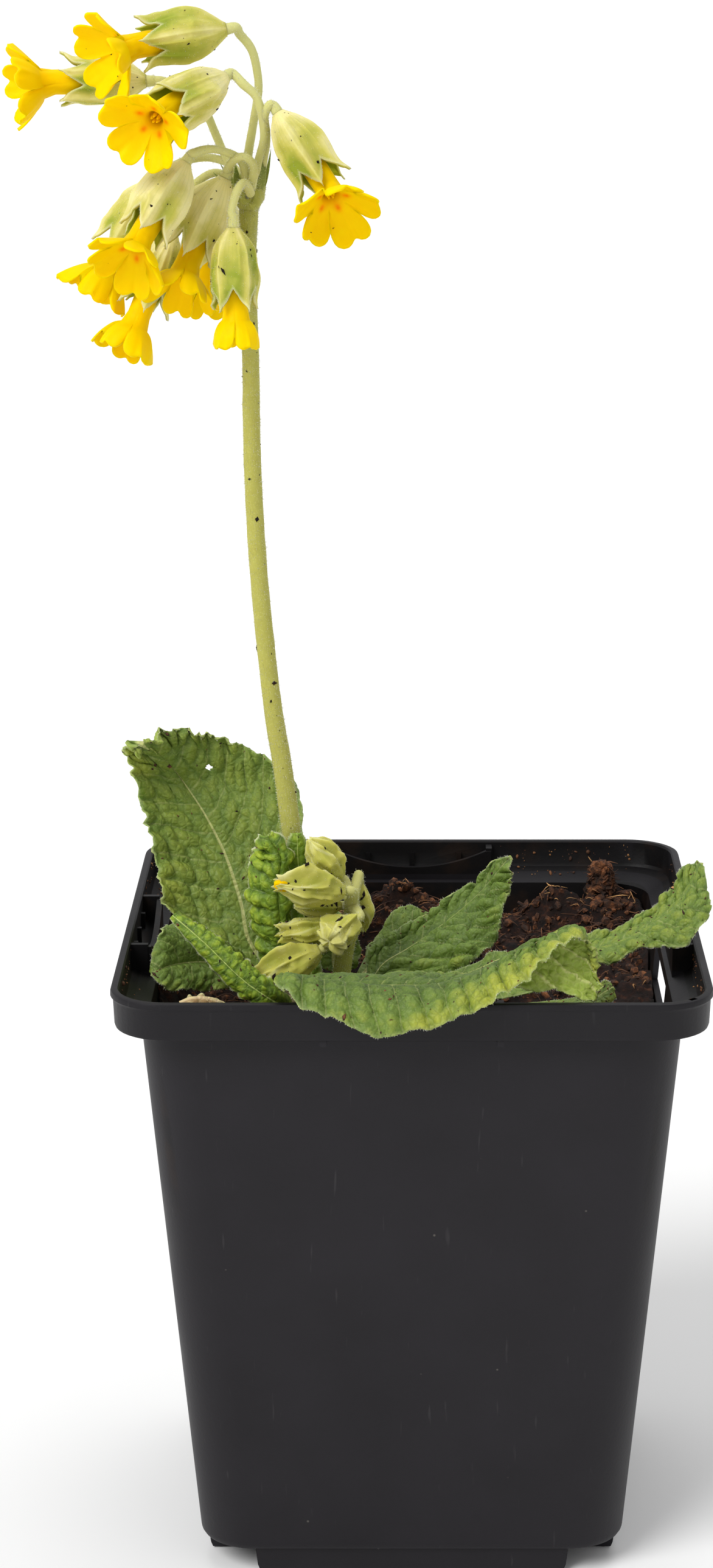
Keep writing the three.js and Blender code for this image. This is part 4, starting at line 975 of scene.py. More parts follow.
def add_hairs(form, roots, ways, length, width, rng, droop=0.35):
    """Thin pyramids that stand on the roots and lean a little, each its own way."""
    count = len(roots)
    ways = unit(ways + droop * rng.normal(size=(count, 3)))
    side = unit(np.cross(ways, rng.normal(size=(count, 3))))
    other = np.cross(ways, side)
    size = length * rng.uniform(0.5, 1.2, (count, 1))
    thirds = (0, 2.094, 4.189)
    corners = [roots + width * (math.cos(t) * side + math.sin(t) * other) for t in thirds]
    points = np.stack([*corners, roots + ways * size], 1)
    first = np.arange(count)[:, None] * 4
    form.add(points, [first + np.array(f) for f in ([0, 2, 1], [0, 1, 3], [1, 2, 3], [2, 0, 3])])


# %% [markdown]
# Crumbs of peat have splashed on everything. Each is a dark dented grain pressed on the surface. They are
# made together with the leaves and flowers that carry them, so none hangs in the air.
# %% Specks of peat
SPECK = np.array([[1, 0, 0], [0, 1, 0], [-1, 0, 0], [0, -1, 0], [0, 0, 1], [0, 0, -1]], float)
SPECK_FACES = np.array([
    [0, 1, 4], [1, 2, 4], [2, 3, 4], [3, 0, 4], [1, 0, 5], [2, 1, 5], [3, 2, 5], [0, 3, 5],
])


def add_specks(form, points, normals, count, rng, biggest=0.42):
    """Grains of peat at random places of a surface."""
    points = points.reshape(-1, 3)
    normals = normals.reshape(-1, 3)
    for pick in rng.integers(0, len(points), count):
        size = 0.07 + biggest * rng.uniform() ** 4
        up = normals[pick]
        side = unit(np.cross(up, rng.normal(size=3)))
        axes = np.array([side, np.cross(up, side), up])
        stretch = np.array([rng.uniform(0.8, 2.2), rng.uniform(0.6, 1.1), 0.6]) * size
        dents = rng.uniform(0.7, 1.2, (len(SPECK), 1))
        form.add(points[pick] + (SPECK * stretch * dents) @ axes, [SPECK_FACES])


# %% [markdown]
# ## The umbel
# Ten flowers hang from one knob on long bowed pedicels, with small pointed bracts below them. The values say
# where each calyx starts, which way it and the open face point, how far the petals open, and the pedicel's
# way.
# %% Flowers
UMBEL = (-24.6, 0, 212.6)
TALL_STALK = [
    [-18.4, -0.6, 86.3],
    *seen((484, 1560, 0), (483, 1470, 0), (479, 1370, 0), (463, 1250, 0), (447, 1150, 0), (426, 950, 0),
          (415, 760, 0), (412, 600, 0), (408, 470, 0), (408, 380, 0)),
    [-24.5, 0, 212.5],
]
TALL_RADII = [1.65, 1.6, 1.55, 1.5, 1.4, 1.35, 1.3, 1.3, 1.6]
KNOB_RADII = [1.3, 2.4, 2.6, 1.9, 0.8]
PEDICEL_RADII = [0.8, 0.7, 0.62, 0.62, 0.66, 0.72, 0.9]
SEAT_GAP = 0.4
# painted_light_offset paints a calyx paler where it hangs in shade and darker where it is lit: painted light
# and painted shade
FLOWERS = {
    "a": dict(
        base=spot(372, 48, -1), aim=(-0.975, -0.1, -0.16), face=(-0.8, -0.52, -0.3), open=(64, 38),
        size=1.02, roll=10, tube=6.3, petal=6.7, painted_light_offset=-0.3,
        pedicel=seen((406, 318, 1), (407, 262, 1), (416, 205, 2), (425, 140, 2), (415, 85, 1),
            (394, 56, 0)),
    ),
    "b": dict(
        base=spot(240, 133, 6), aim=(-0.99, -0.05, 0), face=(-0.97, -0.2, -0.12), open=(62, 26),
        size=1, roll=30, tube=6.2, petal=6.7,
        pedicel=seen((398, 316, 2), (384, 285, 5), (366, 248, 8), (352, 215, 9), (336, 180, 9),
            (305, 146, 8), (270, 134, 6)),
    ),
    "c": dict(
        base=spot(370, 127, -6), aim=(-0.7, -0.62, -0.35), face=(-0.36, -0.84, -0.4), open=(64, 38),
        size=1.02, roll=0, tube=5.7, petal=6.5,
        pedicel=seen((416, 318, -1), (424, 268, -3), (434, 222, -5), (424, 165, -6), (400, 138, -6)),
    ),
    "d": dict(
        base=spot(457, 186, -6), aim=(0.56, -0.22, -0.8), face=(0.28, -0.7, -0.66), open=(62, 36),
        size=1.02, roll=20, tube=5.6, petal=6.6,
        pedicel=[*seen((421, 312, 0), (432, 270, -2), (438, 226, -4)), [-21.9, -5.6, 223.4],
            [-21.3, -6, 225]],
    ),
    "e": dict(
        base=spot(258, 298, 7), aim=(-0.52, 0, -0.85), face=(-0.5, -0.15, -0.85), open=(62, 12),
        size=0.98, roll=15, tube=6.3, petal=6.4, cut=0.6, painted_light_offset=0.2,
        pedicel=seen((398, 308, 4), (385, 276, 6), (352, 260, 9), (312, 262, 9), (280, 276, 8)),
    ),
    "f": dict(
        base=spot(305, 268, -9), aim=(-0.5, -0.32, -0.8), face=(-0.36, -0.6, -0.71), open=(62, 34),
        size=1, roll=36, tube=5.6, petal=6.5, painted_light_offset=0.25,
        pedicel=seen((408, 308, -3), (397, 266, -5), (372, 250, -7), (345, 245, -8), (320, 251, -9)),
    ),
    "g": dict(
        base=spot(284, 386, 1.5), aim=(-0.4, -0.05, -0.91), face=(-0.4, -0.25, -0.9), open=(58, 10),
        size=0.94, roll=0, tube=6.0, petal=6.1, cut=0.6,
        pedicel=seen((398, 320, 3), (385, 296, 4), (352, 284, 4), (318, 306, 3), (296, 348, 2)),
    ),
    "h": dict(
        base=spot(370, 293, -4.5), aim=(-0.42, -0.1, -0.9), face=(-0.26, -0.45, -0.86), open=(58, 28),
        size=1, roll=25, tube=6, petal=6.4, painted_light_offset=0.25,
        pedicel=seen((414, 304, -4), (417, 274, -6), (403, 258, -7), (386, 262, -6.5), (374, 278, -5)),
    ),
    "i": dict(
        base=(-26.4, -12, 207.9), aim=(0.02, -0.03, -0.99), face=(0, -0.06, -0.99), open=(54, -8),
        size=0.94, roll=20, tube=4.6, petal=5.2, cut=0.6, painted_light_offset=-0.3,
        pedicel=[[-24.2, -4, 212.2], [-24.9, -7.4, 214], [-25.8, -10.6, 213.2], [-26.6, -11.7, 210.4]],
    ),
    "j": dict(
        base=spot(372, 322, 8.5), aim=(-0.26, 0.24, -0.94), face=(-0.28, 0.2, -0.93), open=(50, 18),
        size=0.88, roll=50, tube=6.2, petal=5.6, cut=0.75,
        pedicel=seen((402, 306, 5), (396, 288, 7.5), (385, 290, 9), (376, 304, 9)),
    ),
}
# where each bract starts, the way it points and its length
BRACTS = [
    [(-25.7, -1.6, 212), (-0.25, -0.5, 0.95), 4.6],
    [(-23.2, -1.4, 212), (0.3, -0.35, 1), 6.2],
    [(-23, 0.2, 211.5), (0.4, 0.1, 1), 7],
    [(-26, 0.4, 212), (-0.9, -0.3, 0.45), 5],
    [(-26, 1.2, 212.6), (-0.9, 0.2, 0.7), 4.5],
    [(-25.8, -1.2, 211.6), (-0.8, -0.7, 0.1), 4],
    [(-23.4, 1.2, 212.6), (0.4, 0.6, 0.9), 5],
    [(-24.8, 1.6, 212.4), (0, 0.8, 0.7), 4],
]
print("flowers:", len(FLOWERS), "bracts:", len(BRACTS))

# %% [markdown]
# The stalk, its knob and the ten pedicels grew as one, so they are one mesh. A curve object with a bevel
# would give smooth rods, but a living stem is slightly uneven, so the rings of each rod are moved a little
# by noise.
# %% Tall stalk


def add_rod(form, hairs, path, radii, sides, steps, down, rng, pale=0.0):
    """A slightly uneven stem, with so many hairs of down all over it."""
    rings = tube(path, radii, sides, steps)
    out = unit(rings - rings.mean(1, keepdims=True))
    rings = rings + out * (0.05 * noise(rings, 1.5, seed=21))[..., None]
    form.add(*closed(rings), pale=pale, leafy=0.0)
    pick = rng.integers(0, rings.shape[0] * rings.shape[1], down)
    along = np.gradient(rings, axis=0).reshape(-1, 3)[pick]
    roots = rings.reshape(-1, 3)[pick] + along * rng.uniform(-0.5, 0.5, (down, 1))
    add_hairs(hairs, roots, out.reshape(-1, 3)[pick], length=0.42, width=0.028, rng=rng)


def add_bract(form, at, aim, length):
    """A narrow pointed leaflet with a keel."""
    d = unit(np.array(aim, float))
    side = unit(np.cross(d, [0, 0, 1]))
    out = np.cross(side, d)
    t = np.linspace(0, 1, 14)[:, None, None]
    width = 0.85 * np.interp(t, [0, 0.3, 0.65, 1], [0.8, 1, 0.6, 0.04])
    a = angles(12)[None, :, None]
    section = np.cos(a) * side + (0.35 * np.sin(a) - 0.3 * np.cos(a) ** 2) * out
    points, faces = closed(np.array(at) + d * length * t + section * width + out * 0.9 * t**2)
    leafy = np.append(np.repeat(0.35 + 0.6 * t.ravel(), a.size), [0.35, 0.95])
    form.add(points, faces, pale=0.0, leafy=leafy)


def add_shoot(form, hairs, centre, radius, turns, rng):
    """A young shoot that is still curled up like a snail's shell, seen from the front."""
    a = np.linspace(-0.4, 2 * turns, 26) * np.pi
    r = np.linspace(radius, radius * 0.25, len(a))
    path = np.stack([centre[0] + r * np.cos(a), centre[1] + 0.02 * a, centre[2] + r * np.sin(a)], -1)
    add_rod(form, hairs, path, [0.75, 0.7, 0.62, 0.5, 0.4], sides=12, steps=50, down=150, rng=rng)


rng = np.random.default_rng(8)
stem = Form()
stem_down = Form()
add_rod(stem, stem_down, TALL_STALK, TALL_RADII, sides=26, steps=190, down=6500, rng=rng)
ux, uy, uz = UMBEL
knob = [[ux, uy, uz - 3.6], UMBEL, [ux + 0.1, uy + 0.3, uz + 2.6]]
add_rod(stem, stem_down, knob, KNOB_RADII, sides=26, steps=16, down=500, rng=rng)
for flower in FLOWERS.values():
    aim = unit(np.array(flower["aim"], float))
    end = np.array(flower["base"]) - aim * SEAT_GAP
    path = [[ux, uy, uz - 0.8], *flower["pedicel"], end - aim, end + aim * SEAT_GAP]
    add_rod(stem, stem_down, path, PEDICEL_RADII, sides=14, steps=44, down=420, rng=rng, pale=0.8)
for at, aim, length in BRACTS:
    add_bract(stem, at, aim, length)
add_shoot(stem, stem_down, centre=(-24.6, -3, 211.4), radius=1.5, turns=1.1, rng=rng)
make_piece("tall_stalk_stem", stem, living_stem, "tall_stalk")

# the places round the stalk that a speck may lie on
stem_specks = Form()
share = np.linspace(0.02, 0.97, 300)
out = unit(np.stack([rng.normal(size=300), rng.normal(size=300), np.zeros(300)], -1))
stalk_radius = np.interp(share, np.linspace(0, 1, len(TALL_RADII)), TALL_RADII)[:, None]
add_specks(stem_specks, curve(TALL_STALK, share) + out * stalk_radius, out, count=120, rng=rng, biggest=0.3)
make_piece("stem_specks", stem_specks, moist_peat)
print("stem points:", stem.count, "specks:", stem_specks.count // len(SPECK))

# %% [markdown]
# The short stalk carries a tight head of buds that haven't opened. It is made as the tall one is. The values
# say how far below its top each bud's stem starts, where the bud begins and ends, its radius, and how wide
# its end is.
# %% Short stalk
BUDS = {
    1: dict(start=0, base=(-10.6, -9.4, 104.8), tip=(-21.5, -12.8, 107), radius=3.0, mouth=0.4),
    2: dict(start=0, base=(-11.2, -4.2, 105.6), tip=(-16.2, -5.4, 112.3), radius=2.8),
    3: dict(start=0, base=(-11.2, -4.6, 101), tip=(-18.6, -7.6, 101.8), radius=1.8),
    4: dict(start=-1.2, base=(-11.4, -8.6, 98.8), tip=(-21.2, -12.2, 98.8), radius=2.1, mouth=0.6),
    5: dict(start=-4.8, base=(-14.4, -13.2, 96.4), tip=(-26.3, -16.2, 91.2), radius=3.0),
    6: dict(start=0, base=(-8.9, -11, 100.6), tip=(-12.7, -16.6, 99), radius=2.7, mouth=0.85, blunt=True),
    7: dict(start=0, base=(-8.3, -1.8, 103.8), tip=(-7.6, -1.4, 95.6), radius=2.1),
}
SHORT_TOP = (-9.5, -5.6, 101.4)
SHORT_STALK = [
    [-11.5, -6, 86.3], *seen((563, 1590, -6), (572, 1534, -6)), [-9.4, -5.6, 100.4], [-9.6, -5.6, 102.6],
]
short = Form()
add_rod(short, stem_down, SHORT_STALK, [1.45, 1.4, 1.35, 1.3, 1.0], sides=24, steps=40, down=1000, rng=rng)
for bud in BUDS.values():
    base = np.array(bud["base"])
    aim = unit(np.array(bud["tip"]) - base)
    path = [[SHORT_TOP[0], SHORT_TOP[1], SHORT_TOP[2] + bud["start"]], base - aim * (SEAT_GAP + 1), base]
    add_rod(short, stem_down, path, [0.95, 0.8, 0.7], sides=12, steps=16, down=100, rng=rng, pale=0.5)
make_piece("short_stalk_stem", short, living_stem, "short_stalk")
make_piece("stem_down", stem_down, white_down)
print("stem hairs:", stem_down.count // 4)

# %% [markdown]
# ## Calyces
# A calyx is a pale inflated bag with five sharp angles, each of which ends in a pointed tooth. The bag is
# whitish along the angles and yellow green between them. One ring formula gives the angles and the teeth.
# %% Calyx finish


def calyx_material(name, valley, middle, pale):
    """A thin downy bag of tissue that lets light through."""
    material, tree, shader, places = start_material(name)
    value = {
        key: add(tree, "Attribute", attribute_name=key).outputs["Fac"]
        for key in ("pale", "inner", "rim", "turn")
    }
    patches = add(tree, "TexNoise", {"Vector": places, "Scale": PER_MM / 2.2, "Detail": 4})
    uneven = add(tree, "MapRange", {
        "Value": patches.outputs["Fac"], "To Min": -0.35, "To Max": 0.35,
    })
    spread = add(tree, "Math", {
        0: value["pale"], 1: uneven.outputs[0],
    }, operation="ADD", use_clamp=True)
    bag = add(tree, "ValToRGB", {"Fac": spread.outputs[0]},
              stops=[(0.05, valley), (0.95, pale), (0.5, middle)])
    # turn is 0 on each of the five angles and 1 halfway between two, so that three of these lines fit between
    wobble = add(tree, "Math", {
        0: value["turn"], 1: 3.0, 2: uneven.outputs[0],
    }, operation="MULTIPLY_ADD")
    off_line = add(tree, "Math", {0: wobble.outputs[0], 1: 0.5}, operation="PINGPONG")
    line = add(tree, "MapRange", {
        "Value": off_line.outputs[0], "From Min": 0.0, "From Max": 0.2, "To Min": 0.15, "To Max": 0.0,
    })
    crest = add(tree, "MapRange", {
        "Value": value["turn"], "From Min": 0.02, "From Max": 0.12, "To Min": 0.25, "To Max": 0.0,
    })
    colour = bag.outputs["Color"]
    for cover, over in (
        (line.outputs[0], valley), (crest.outputs[0], pale),
        (value["inner"], valley), (value["rim"], "#dedcb6"),
    ):
        colour = add(tree, "Mix", {
            FACTOR: cover, MIX_A: colour, MIX_B: over,
        }, data_type="RGBA").outputs[MIXED]
    crinkle = add(tree, "TexNoise", {"Vector": places, "Scale": PER_MM / 0.6, "Detail": 4})
    relief = add(tree, "Bump", {
        "Height": crinkle.outputs["Fac"], "Strength": 0.35, "Distance": 0.0002,
    })
    feed(tree, shader, {
        "Base Color": colour, "Normal": relief.outputs[0],
        "Roughness": 0.6, "Specular IOR Level": 0.2,
        "Subsurface Weight": 0.6, "Subsurface Radius": (0.0012, 0.0012, 0.0006), "Subsurface Scale": 1.0,
    })
    print(name, "nodes:", len(tree.nodes))
    return material


pale_calyx = calyx_material("pale_calyx", "#8f9c2c", "#c2bc58", "#e4da98")
bud_calyx = calyx_material("bud_calyx", "#9aa038", "#bcb858", "#dcd893")

# %% [markdown]
# The bag is a closed body of rings: up the outside to the teeth, and down the inside to its floor. The
# tables give a tooth's height from its line to the gap between two, and the bag's radius from its foot to
# its teeth. Folds, pleats and a slight crumple differ from calyx to calyx, so that no two look stamped from
# one mould.
# %% Calyx shape
CALYX_CUP = 9.3
CALYX_TOOTH = 3.7
CALYX_RADIUS = 3.8
CALYX_WALL = 0.4
CALYX_FLOOR = 2.2
TOOTH_TURNS = [0, 0.07, 0.25, 0.5, 0.75, 1]
TOOTH_SHAPE = [1, 0.82, 0.68, 0.48, 0.24, 0]
CALYX_HEIGHTS = [0, 0.06, 0.2, 0.45, 0.75, 1, 1.2, 1.4]
CALYX_SHAPE = [0.22, 0.38, 0.64, 0.91, 1, 0.97, 0.9, 0.95]


def axes_along(aim, roll):
    """Three axes, the third along the given way, turned by roll about it."""
    z = unit(np.array(aim, float))
    ref = np.array([0, 0, 1.0]) if abs(z[2]) < 0.95 else np.array([0, 1.0, 0])
    x = unit(np.cross(ref, z))
    y = np.cross(z, x)
    a = math.radians(roll)
    return np.array([x * math.cos(a) + y * math.sin(a), y * math.cos(a) - x * math.sin(a), z])


def fifth(a):
    """0 on the line of a tooth or petal, 1 halfway to the next one."""
    return np.abs((a * 5 / (2 * np.pi) + 0.5) % 1 - 0.5) * 2


def soft_table(keys, values, x):
    """A table with its corners rounded off."""
    spread = 0.03
    return sum(np.interp(x + k * spread, keys, values) for k in (-2, -1, 0, 1, 2)) / 5


def calyx_ring(a, share, wall, start, k, seed):
    """A ring of the calyx in its own axes, and how far up the cup it is."""
    tooth = np.interp(fifth(a), TOOTH_TURNS, TOOTH_SHAPE)
    top = (CALYX_CUP + CALYX_TOOTH * tooth) * k
    z = start + (top - start) * share
    h = z / (CALYX_CUP * k)
    angle = 1 - np.abs(np.sin(2.5 * a))
    swell = 1 + 0.19 * (angle - 0.38) * np.minimum(h * 3, 1)
    keel = 0.03 * np.exp(-((fifth(a) / 0.08) ** 2)) * smooth(h, 0.05, 0.4)
    # noise that runs round the bag without a seam, and changes slowly up it
    round_about = np.stack(np.broadcast_arrays(3.8 * np.cos(a), 3.8 * np.sin(a), z * 0.22 + seed * 3.7), -1)
    pleat = (1 - np.abs(noise(round_about, 1.9, seed + 1))) ** 4
    fold = (0.1 * noise(round_about, 1.6, seed) + 0.09 * pleat - 0.03) * smooth(h, 0.05, 0.4)
    which = np.round(a * 5 / (2 * np.pi))
    flare = 0.09 * smooth(h, 1.1, 1.42) * (1 + 1.2 * np.sin(seed + 3 * which))
    r = CALYX_RADIUS * k * (soft_table(CALYX_HEIGHTS, CALYX_SHAPE, h) * swell + keel + fold + flare) - wall
    place = np.stack([r * np.cos(a), r * np.sin(a), z], -1)
    crumple = 0.5 * noise(place + seed * 9.7, 3.4, seed=31) + 0.2 * noise(place + seed * 4.3, 1.5, seed=32)
    return place * np.stack([1 + crumple / 6, 1 + crumple / 6, np.ones_like(z)], -1), h


def make_calyx(name, flower, hairs, rng):
    """One calyx with its down and specks."""
    k = flower["size"]
    axes = axes_along(flower["aim"], flower["roll"])
    origin = np.array(flower["base"])
    a = angles(140)[None]
    seed = ord(name)
    outer_share = np.linspace(0, 1, 28)[:, None]
    outer, high = calyx_ring(a, outer_share, 0, 0, k, seed)
    inner, _ = calyx_ring(a, np.linspace(1, 0, 7)[:, None], CALYX_WALL, CALYX_FLOOR * k, k, seed)
    rings = np.concatenate([outer, inner])
    points, faces = closed(origin + rings @ axes)
    pale = 0.5 + 0.26 * np.exp(-((fifth(a) / 0.4) ** 2)) * (1 - 0.4 * smooth(high, 0.7, 1.3))
    pale = pale + 0.3 * (1 - smooth(high, 0.1, 0.6))
    pale = pale - 0.35 * smooth(high, 0.5, 1.1) * smooth(fifth(a), 0.15, 0.7)
    # painted light and shade: each flower's painted_light_offset brightens the shaded calyces and darkens the
    # lit ones
    pale = pale + 0.4 * noise(outer + seed, 4.2, seed) + flower.get("painted_light_offset", 0.0)
    rim = 0.55 * smooth(outer_share, 0.93, 1.0) * np.ones_like(a)
    blank = np.zeros((len(inner), a.size))
    form = Form()
    form.add(points, faces, pale=np.append(np.concatenate([pale, blank + 0.3]), [0.9, 0]),
             inner=np.append(np.concatenate([0 * pale, blank + 1]), [0, 1]),
             rim=np.append(np.concatenate([rim, blank]), [0, 0]),
             turn=np.append(np.tile(fifth(a), (len(rings), 1)), [0, 0]))
    make_piece(f"calyx_{name}_bag", form, pale_calyx, f"calyx_{name}")
    placed = origin + outer @ axes
    out = unit(placed - placed.mean(1, keepdims=True))
    pick = rng.integers(0, placed.shape[0] * placed.shape[1], 380)
    add_hairs(hairs, placed.reshape(-1, 3)[pick], out.reshape(-1, 3)[pick], length=0.3, width=0.025, rng=rng)
    edge = placed[-1][rng.integers(0, a.size, 160)]
    add_hairs(hairs, edge, unit(edge - placed[20].mean(0)) + axes[2], length=0.25, width=0.025, rng=rng)
    add_specks(flower_specks, placed[2:-3], out[2:-3], count=18, rng=rng, biggest=0.3)


# %% [markdown]
# ## Corollas
# The five petals join in a tube and open into a shallow cup. Each is heart-shaped, egg-yolk yellow and
# silky, with an orange mark at the throat. One grid runs from the tube, over the outer face, round the edge
# and back in.
# %% Petal finish
silky_petal, tree, shader, places = start_material("silky_petal")
mark = add(tree, "Attribute", attribute_name="mark").outputs["Fac"]
deep = add(tree, "Attribute", attribute_name="deep").outputs["Fac"]
tint = add(tree, "TexNoise", {"Vector": places, "Scale": PER_MM / 2.6, "Detail": 3})
yellow = add(tree, "Mix", {
    FACTOR: tint.outputs["Fac"], MIX_A: "#f5c500", MIX_B: "#f9d600",
}, data_type="RGBA")
colour = yellow.outputs[MIXED]
# deep is painted shade: a darker yellow on the tube under the calyx, growing down into the throat
for cover, over in ((deep, "#e6b206"), (mark, "#f07800")):
    colour = add(tree, "Mix", {
        FACTOR: cover, MIX_A: colour, MIX_B: over,
    }, data_type="RGBA").outputs[MIXED]
silk = add(tree, "TexNoise", {"Vector": places, "Scale": PER_MM / 0.25, "Detail": 3})
relief = add(tree, "Bump", {"Height": silk.outputs["Fac"], "Strength": 0.15, "Distance": 0.0001})
feed(tree, shader, {
    "Base Color": colour, "Normal": relief.outputs[0],
    "Roughness": 0.5, "Specular IOR Level": 0.03,
    "Subsurface Weight": 0.5, "Subsurface Radius": (0.0008, 0.0006, 0.0001), "Subsurface Scale": 1.0,
})
print(silky_petal.name, "nodes:", len(tree.nodes))

# %% [markdown]
# Five separate petals would show gaps at the throat, so one grid makes the whole corolla. Its outline dips
# between the petals and at the notch of each, and a petal overlaps the next. Five anthers stand in the
# throat.
# %% Corolla shape
TUBE_START = 3.0
TUBE_RADIUS = 1.1
THROAT_RADIUS = 1.6
PETAL_THICKNESS = 0.3
PETAL_TURNS = [0, 0.08, 0.18, 0.32, 0.5, 0.68, 0.8, 0.89, 0.95, 1]
PETAL_REACH = [0.9, 0.92, 0.98, 1.02, 1.02, 0.96, 0.87, 0.74, 0.6, 0.42]
AROUND = 190


def make_corolla(name, flower, rng):
    """One corolla, its tube along the calyx and its petals round the way that the flower faces."""
    k = flower["size"]
    low = axes_along(flower["aim"], flower["roll"])
    high = axes_along(flower["face"], flower["roll"])
    base = np.array(flower["base"])
    mouth = base + low[2] * CALYX_CUP * k
    lean = unit(0.6 * low[2] + 0.4 * high[2])
    throat = mouth + lean * flower["tube"]
    a = angles(AROUND)
    b0, b1 = np.radians(flower["open"])
    bow = flower["petal"] / (b1 - b0)
    petal = fifth(a)
    turn = ((a * 5 / (2 * np.pi) + 0.5) % 1 - 0.5) * 2
    seed = ord(name)
    which = np.round(a * 5 / (2 * np.pi)) % 5
    own = np.sin(seed * 1.7 + which * 2.4)
    cut = flower.get("cut", 1.0)
    outline = 1 - cut * (1 - np.interp(petal, PETAL_TURNS, PETAL_REACH))
    outline = outline * (1 + 0.05 * np.sin(seed + which * 1.9))
    ruffle = noise(np.stack([a * 7, 0 * a + seed], -1), 1.0, seed)

    def limb(share, lift):
        """A ring of the open petals, at a share of their length."""
        beta = b0 + (b1 - b0) * share * outline
        fold = -0.4 * np.exp(-((petal / 0.16) ** 2)) * share + 0.45 * petal**2
        lap = 0.24 * turn * np.abs(turn) ** 3 * smooth(share, 0.1, 0.5)
        step = lift + (fold + 0.5 * own + 0.1 * ruffle * share) * share**2 + lap
        r = THROAT_RADIUS * k + (np.cos(b0) - np.cos(beta)) * bow - step * np.cos(beta)
        z = (np.sin(beta) - np.sin(b0)) * bow + step * np.sin(beta)
        return throat + np.stack([r * np.cos(a), r * np.sin(a), z], -1) @ high

    def collar(centre, axes, radius):
        """A round ring of the tube or throat."""
        return centre + np.stack([radius * np.cos(a), radius * np.sin(a), 0 * a], -1) @ axes

    half = PETAL_THICKNESS / 2
    foot = base + low[2] * TUBE_START * k
    funnel = throat - high[2] * THROAT_RADIUS * k
    rings, mark, deep = [], [], []

    def keep(ring, orange=0.0, throat_shade=0.0):
        """Adds a ring, with how much it has of the orange mark and of the painted shade, a darker yellow, in
        the tube and throat.
        """
        rings.append(ring)
        mark.append(orange * np.ones_like(a))
        deep.append(throat_shade * np.ones_like(a))

    first, last = collar(foot, low, TUBE_RADIUS * k), collar(funnel, high, (THROAT_RADIUS + 0.28) * k)
    for t in np.linspace(0, 1, 10):
        belly = 0.32 * math.sin(math.pi * smooth(t, 0.2, 1.05)) * k * (1 - 0.12 * np.cos(5 * a))
        ring = first * (1 - t) + last * t
        keep(ring + unit(ring - ring.mean(0)) * np.reshape(belly, (-1, 1)), throat_shade=0.22)
    for share in np.linspace(0.12, 1, 10):
        keep(limb(share, -half), throat_shade=0.22 * (1 - share) ** 2)
    for share in np.linspace(1, 0, 16):
        narrow = (petal / (0.42 - share)) ** 2 if share < 0.4 else 9
        streak = np.exp(-(((share - 0.12) / 0.1) ** 2)) * np.exp(-narrow)
        keep(limb(share, half), 0.9 * streak, 0.4 * (1 - smooth(share, 0.02, 0.22)))
    for t in (0.35, 0.7, 1.0):
        keep(collar(throat - high[2] * 1.7 * t * k, high, (1.35 - 0.4 * t) * k), 0, 0.4 + 0.4 * t)
    rings = np.array(rings)
    points, faces = closed(rings)
    form = Form()
    form.add(points, faces, mark=np.append(np.array(mark), [0, 0]), deep=np.append(np.array(deep), [0.3, 1]))
    for turned in np.arange(5) * 2 * np.pi / 5 + 0.3:
        outward = np.array([np.cos(turned), np.sin(turned), 0]) @ high
        low_end = throat - high[2] * 1.6 * k + outward * 0.5 * k
        path = [low_end, low_end + high[2] * 0.8 * k, low_end + high[2] * 1.5 * k]
        rod = tube(path, [0.3, 0.34, 0.12], sides=6, steps=4)
        form.add(*closed(rod), mark=0.3, deep=0.0)
    make_piece(f"corolla_{name}_petals", form, silky_petal, f"corolla_{name}")
    face = rings[22:30]
    add_specks(flower_specks, face, np.broadcast_to(high[2], face.shape), count=3, rng=rng, biggest=0.25)


calyx_down = Form()
flower_specks = Form()
for name, flower in FLOWERS.items():
    make_calyx(name, flower, calyx_down, rng)
    make_corolla(name, flower, rng)
print("calyx hairs:", calyx_down.count // 4, "specks:", flower_specks.count // len(SPECK))

# %% [markdown]
# The buds are calyces that are still shut, pleated and lapped like a twisted paper bag. Most end in a point,
# and some in a crumpled hollow or a blunt dome. The foremost one shows the first yellow of its petals.
# %% Buds
BUD_HEIGHTS = [0, 0.1, 0.3, 0.6, 0.84, 1]
BUD_SHAPE = [0.3, 0.6, 0.95, 1, 0.62, 0.1]
OPEN_BUD = 1
# the rings that close an end: how wide each is, and how deep it lies, as shares of the bud's radius
HOLLOW = [(0.75, 0.12), (0.45, 0.35), (0.2, 0.3)]
DOME = [(0.8, -0.14), (0.5, -0.3), (0.2, -0.2)]


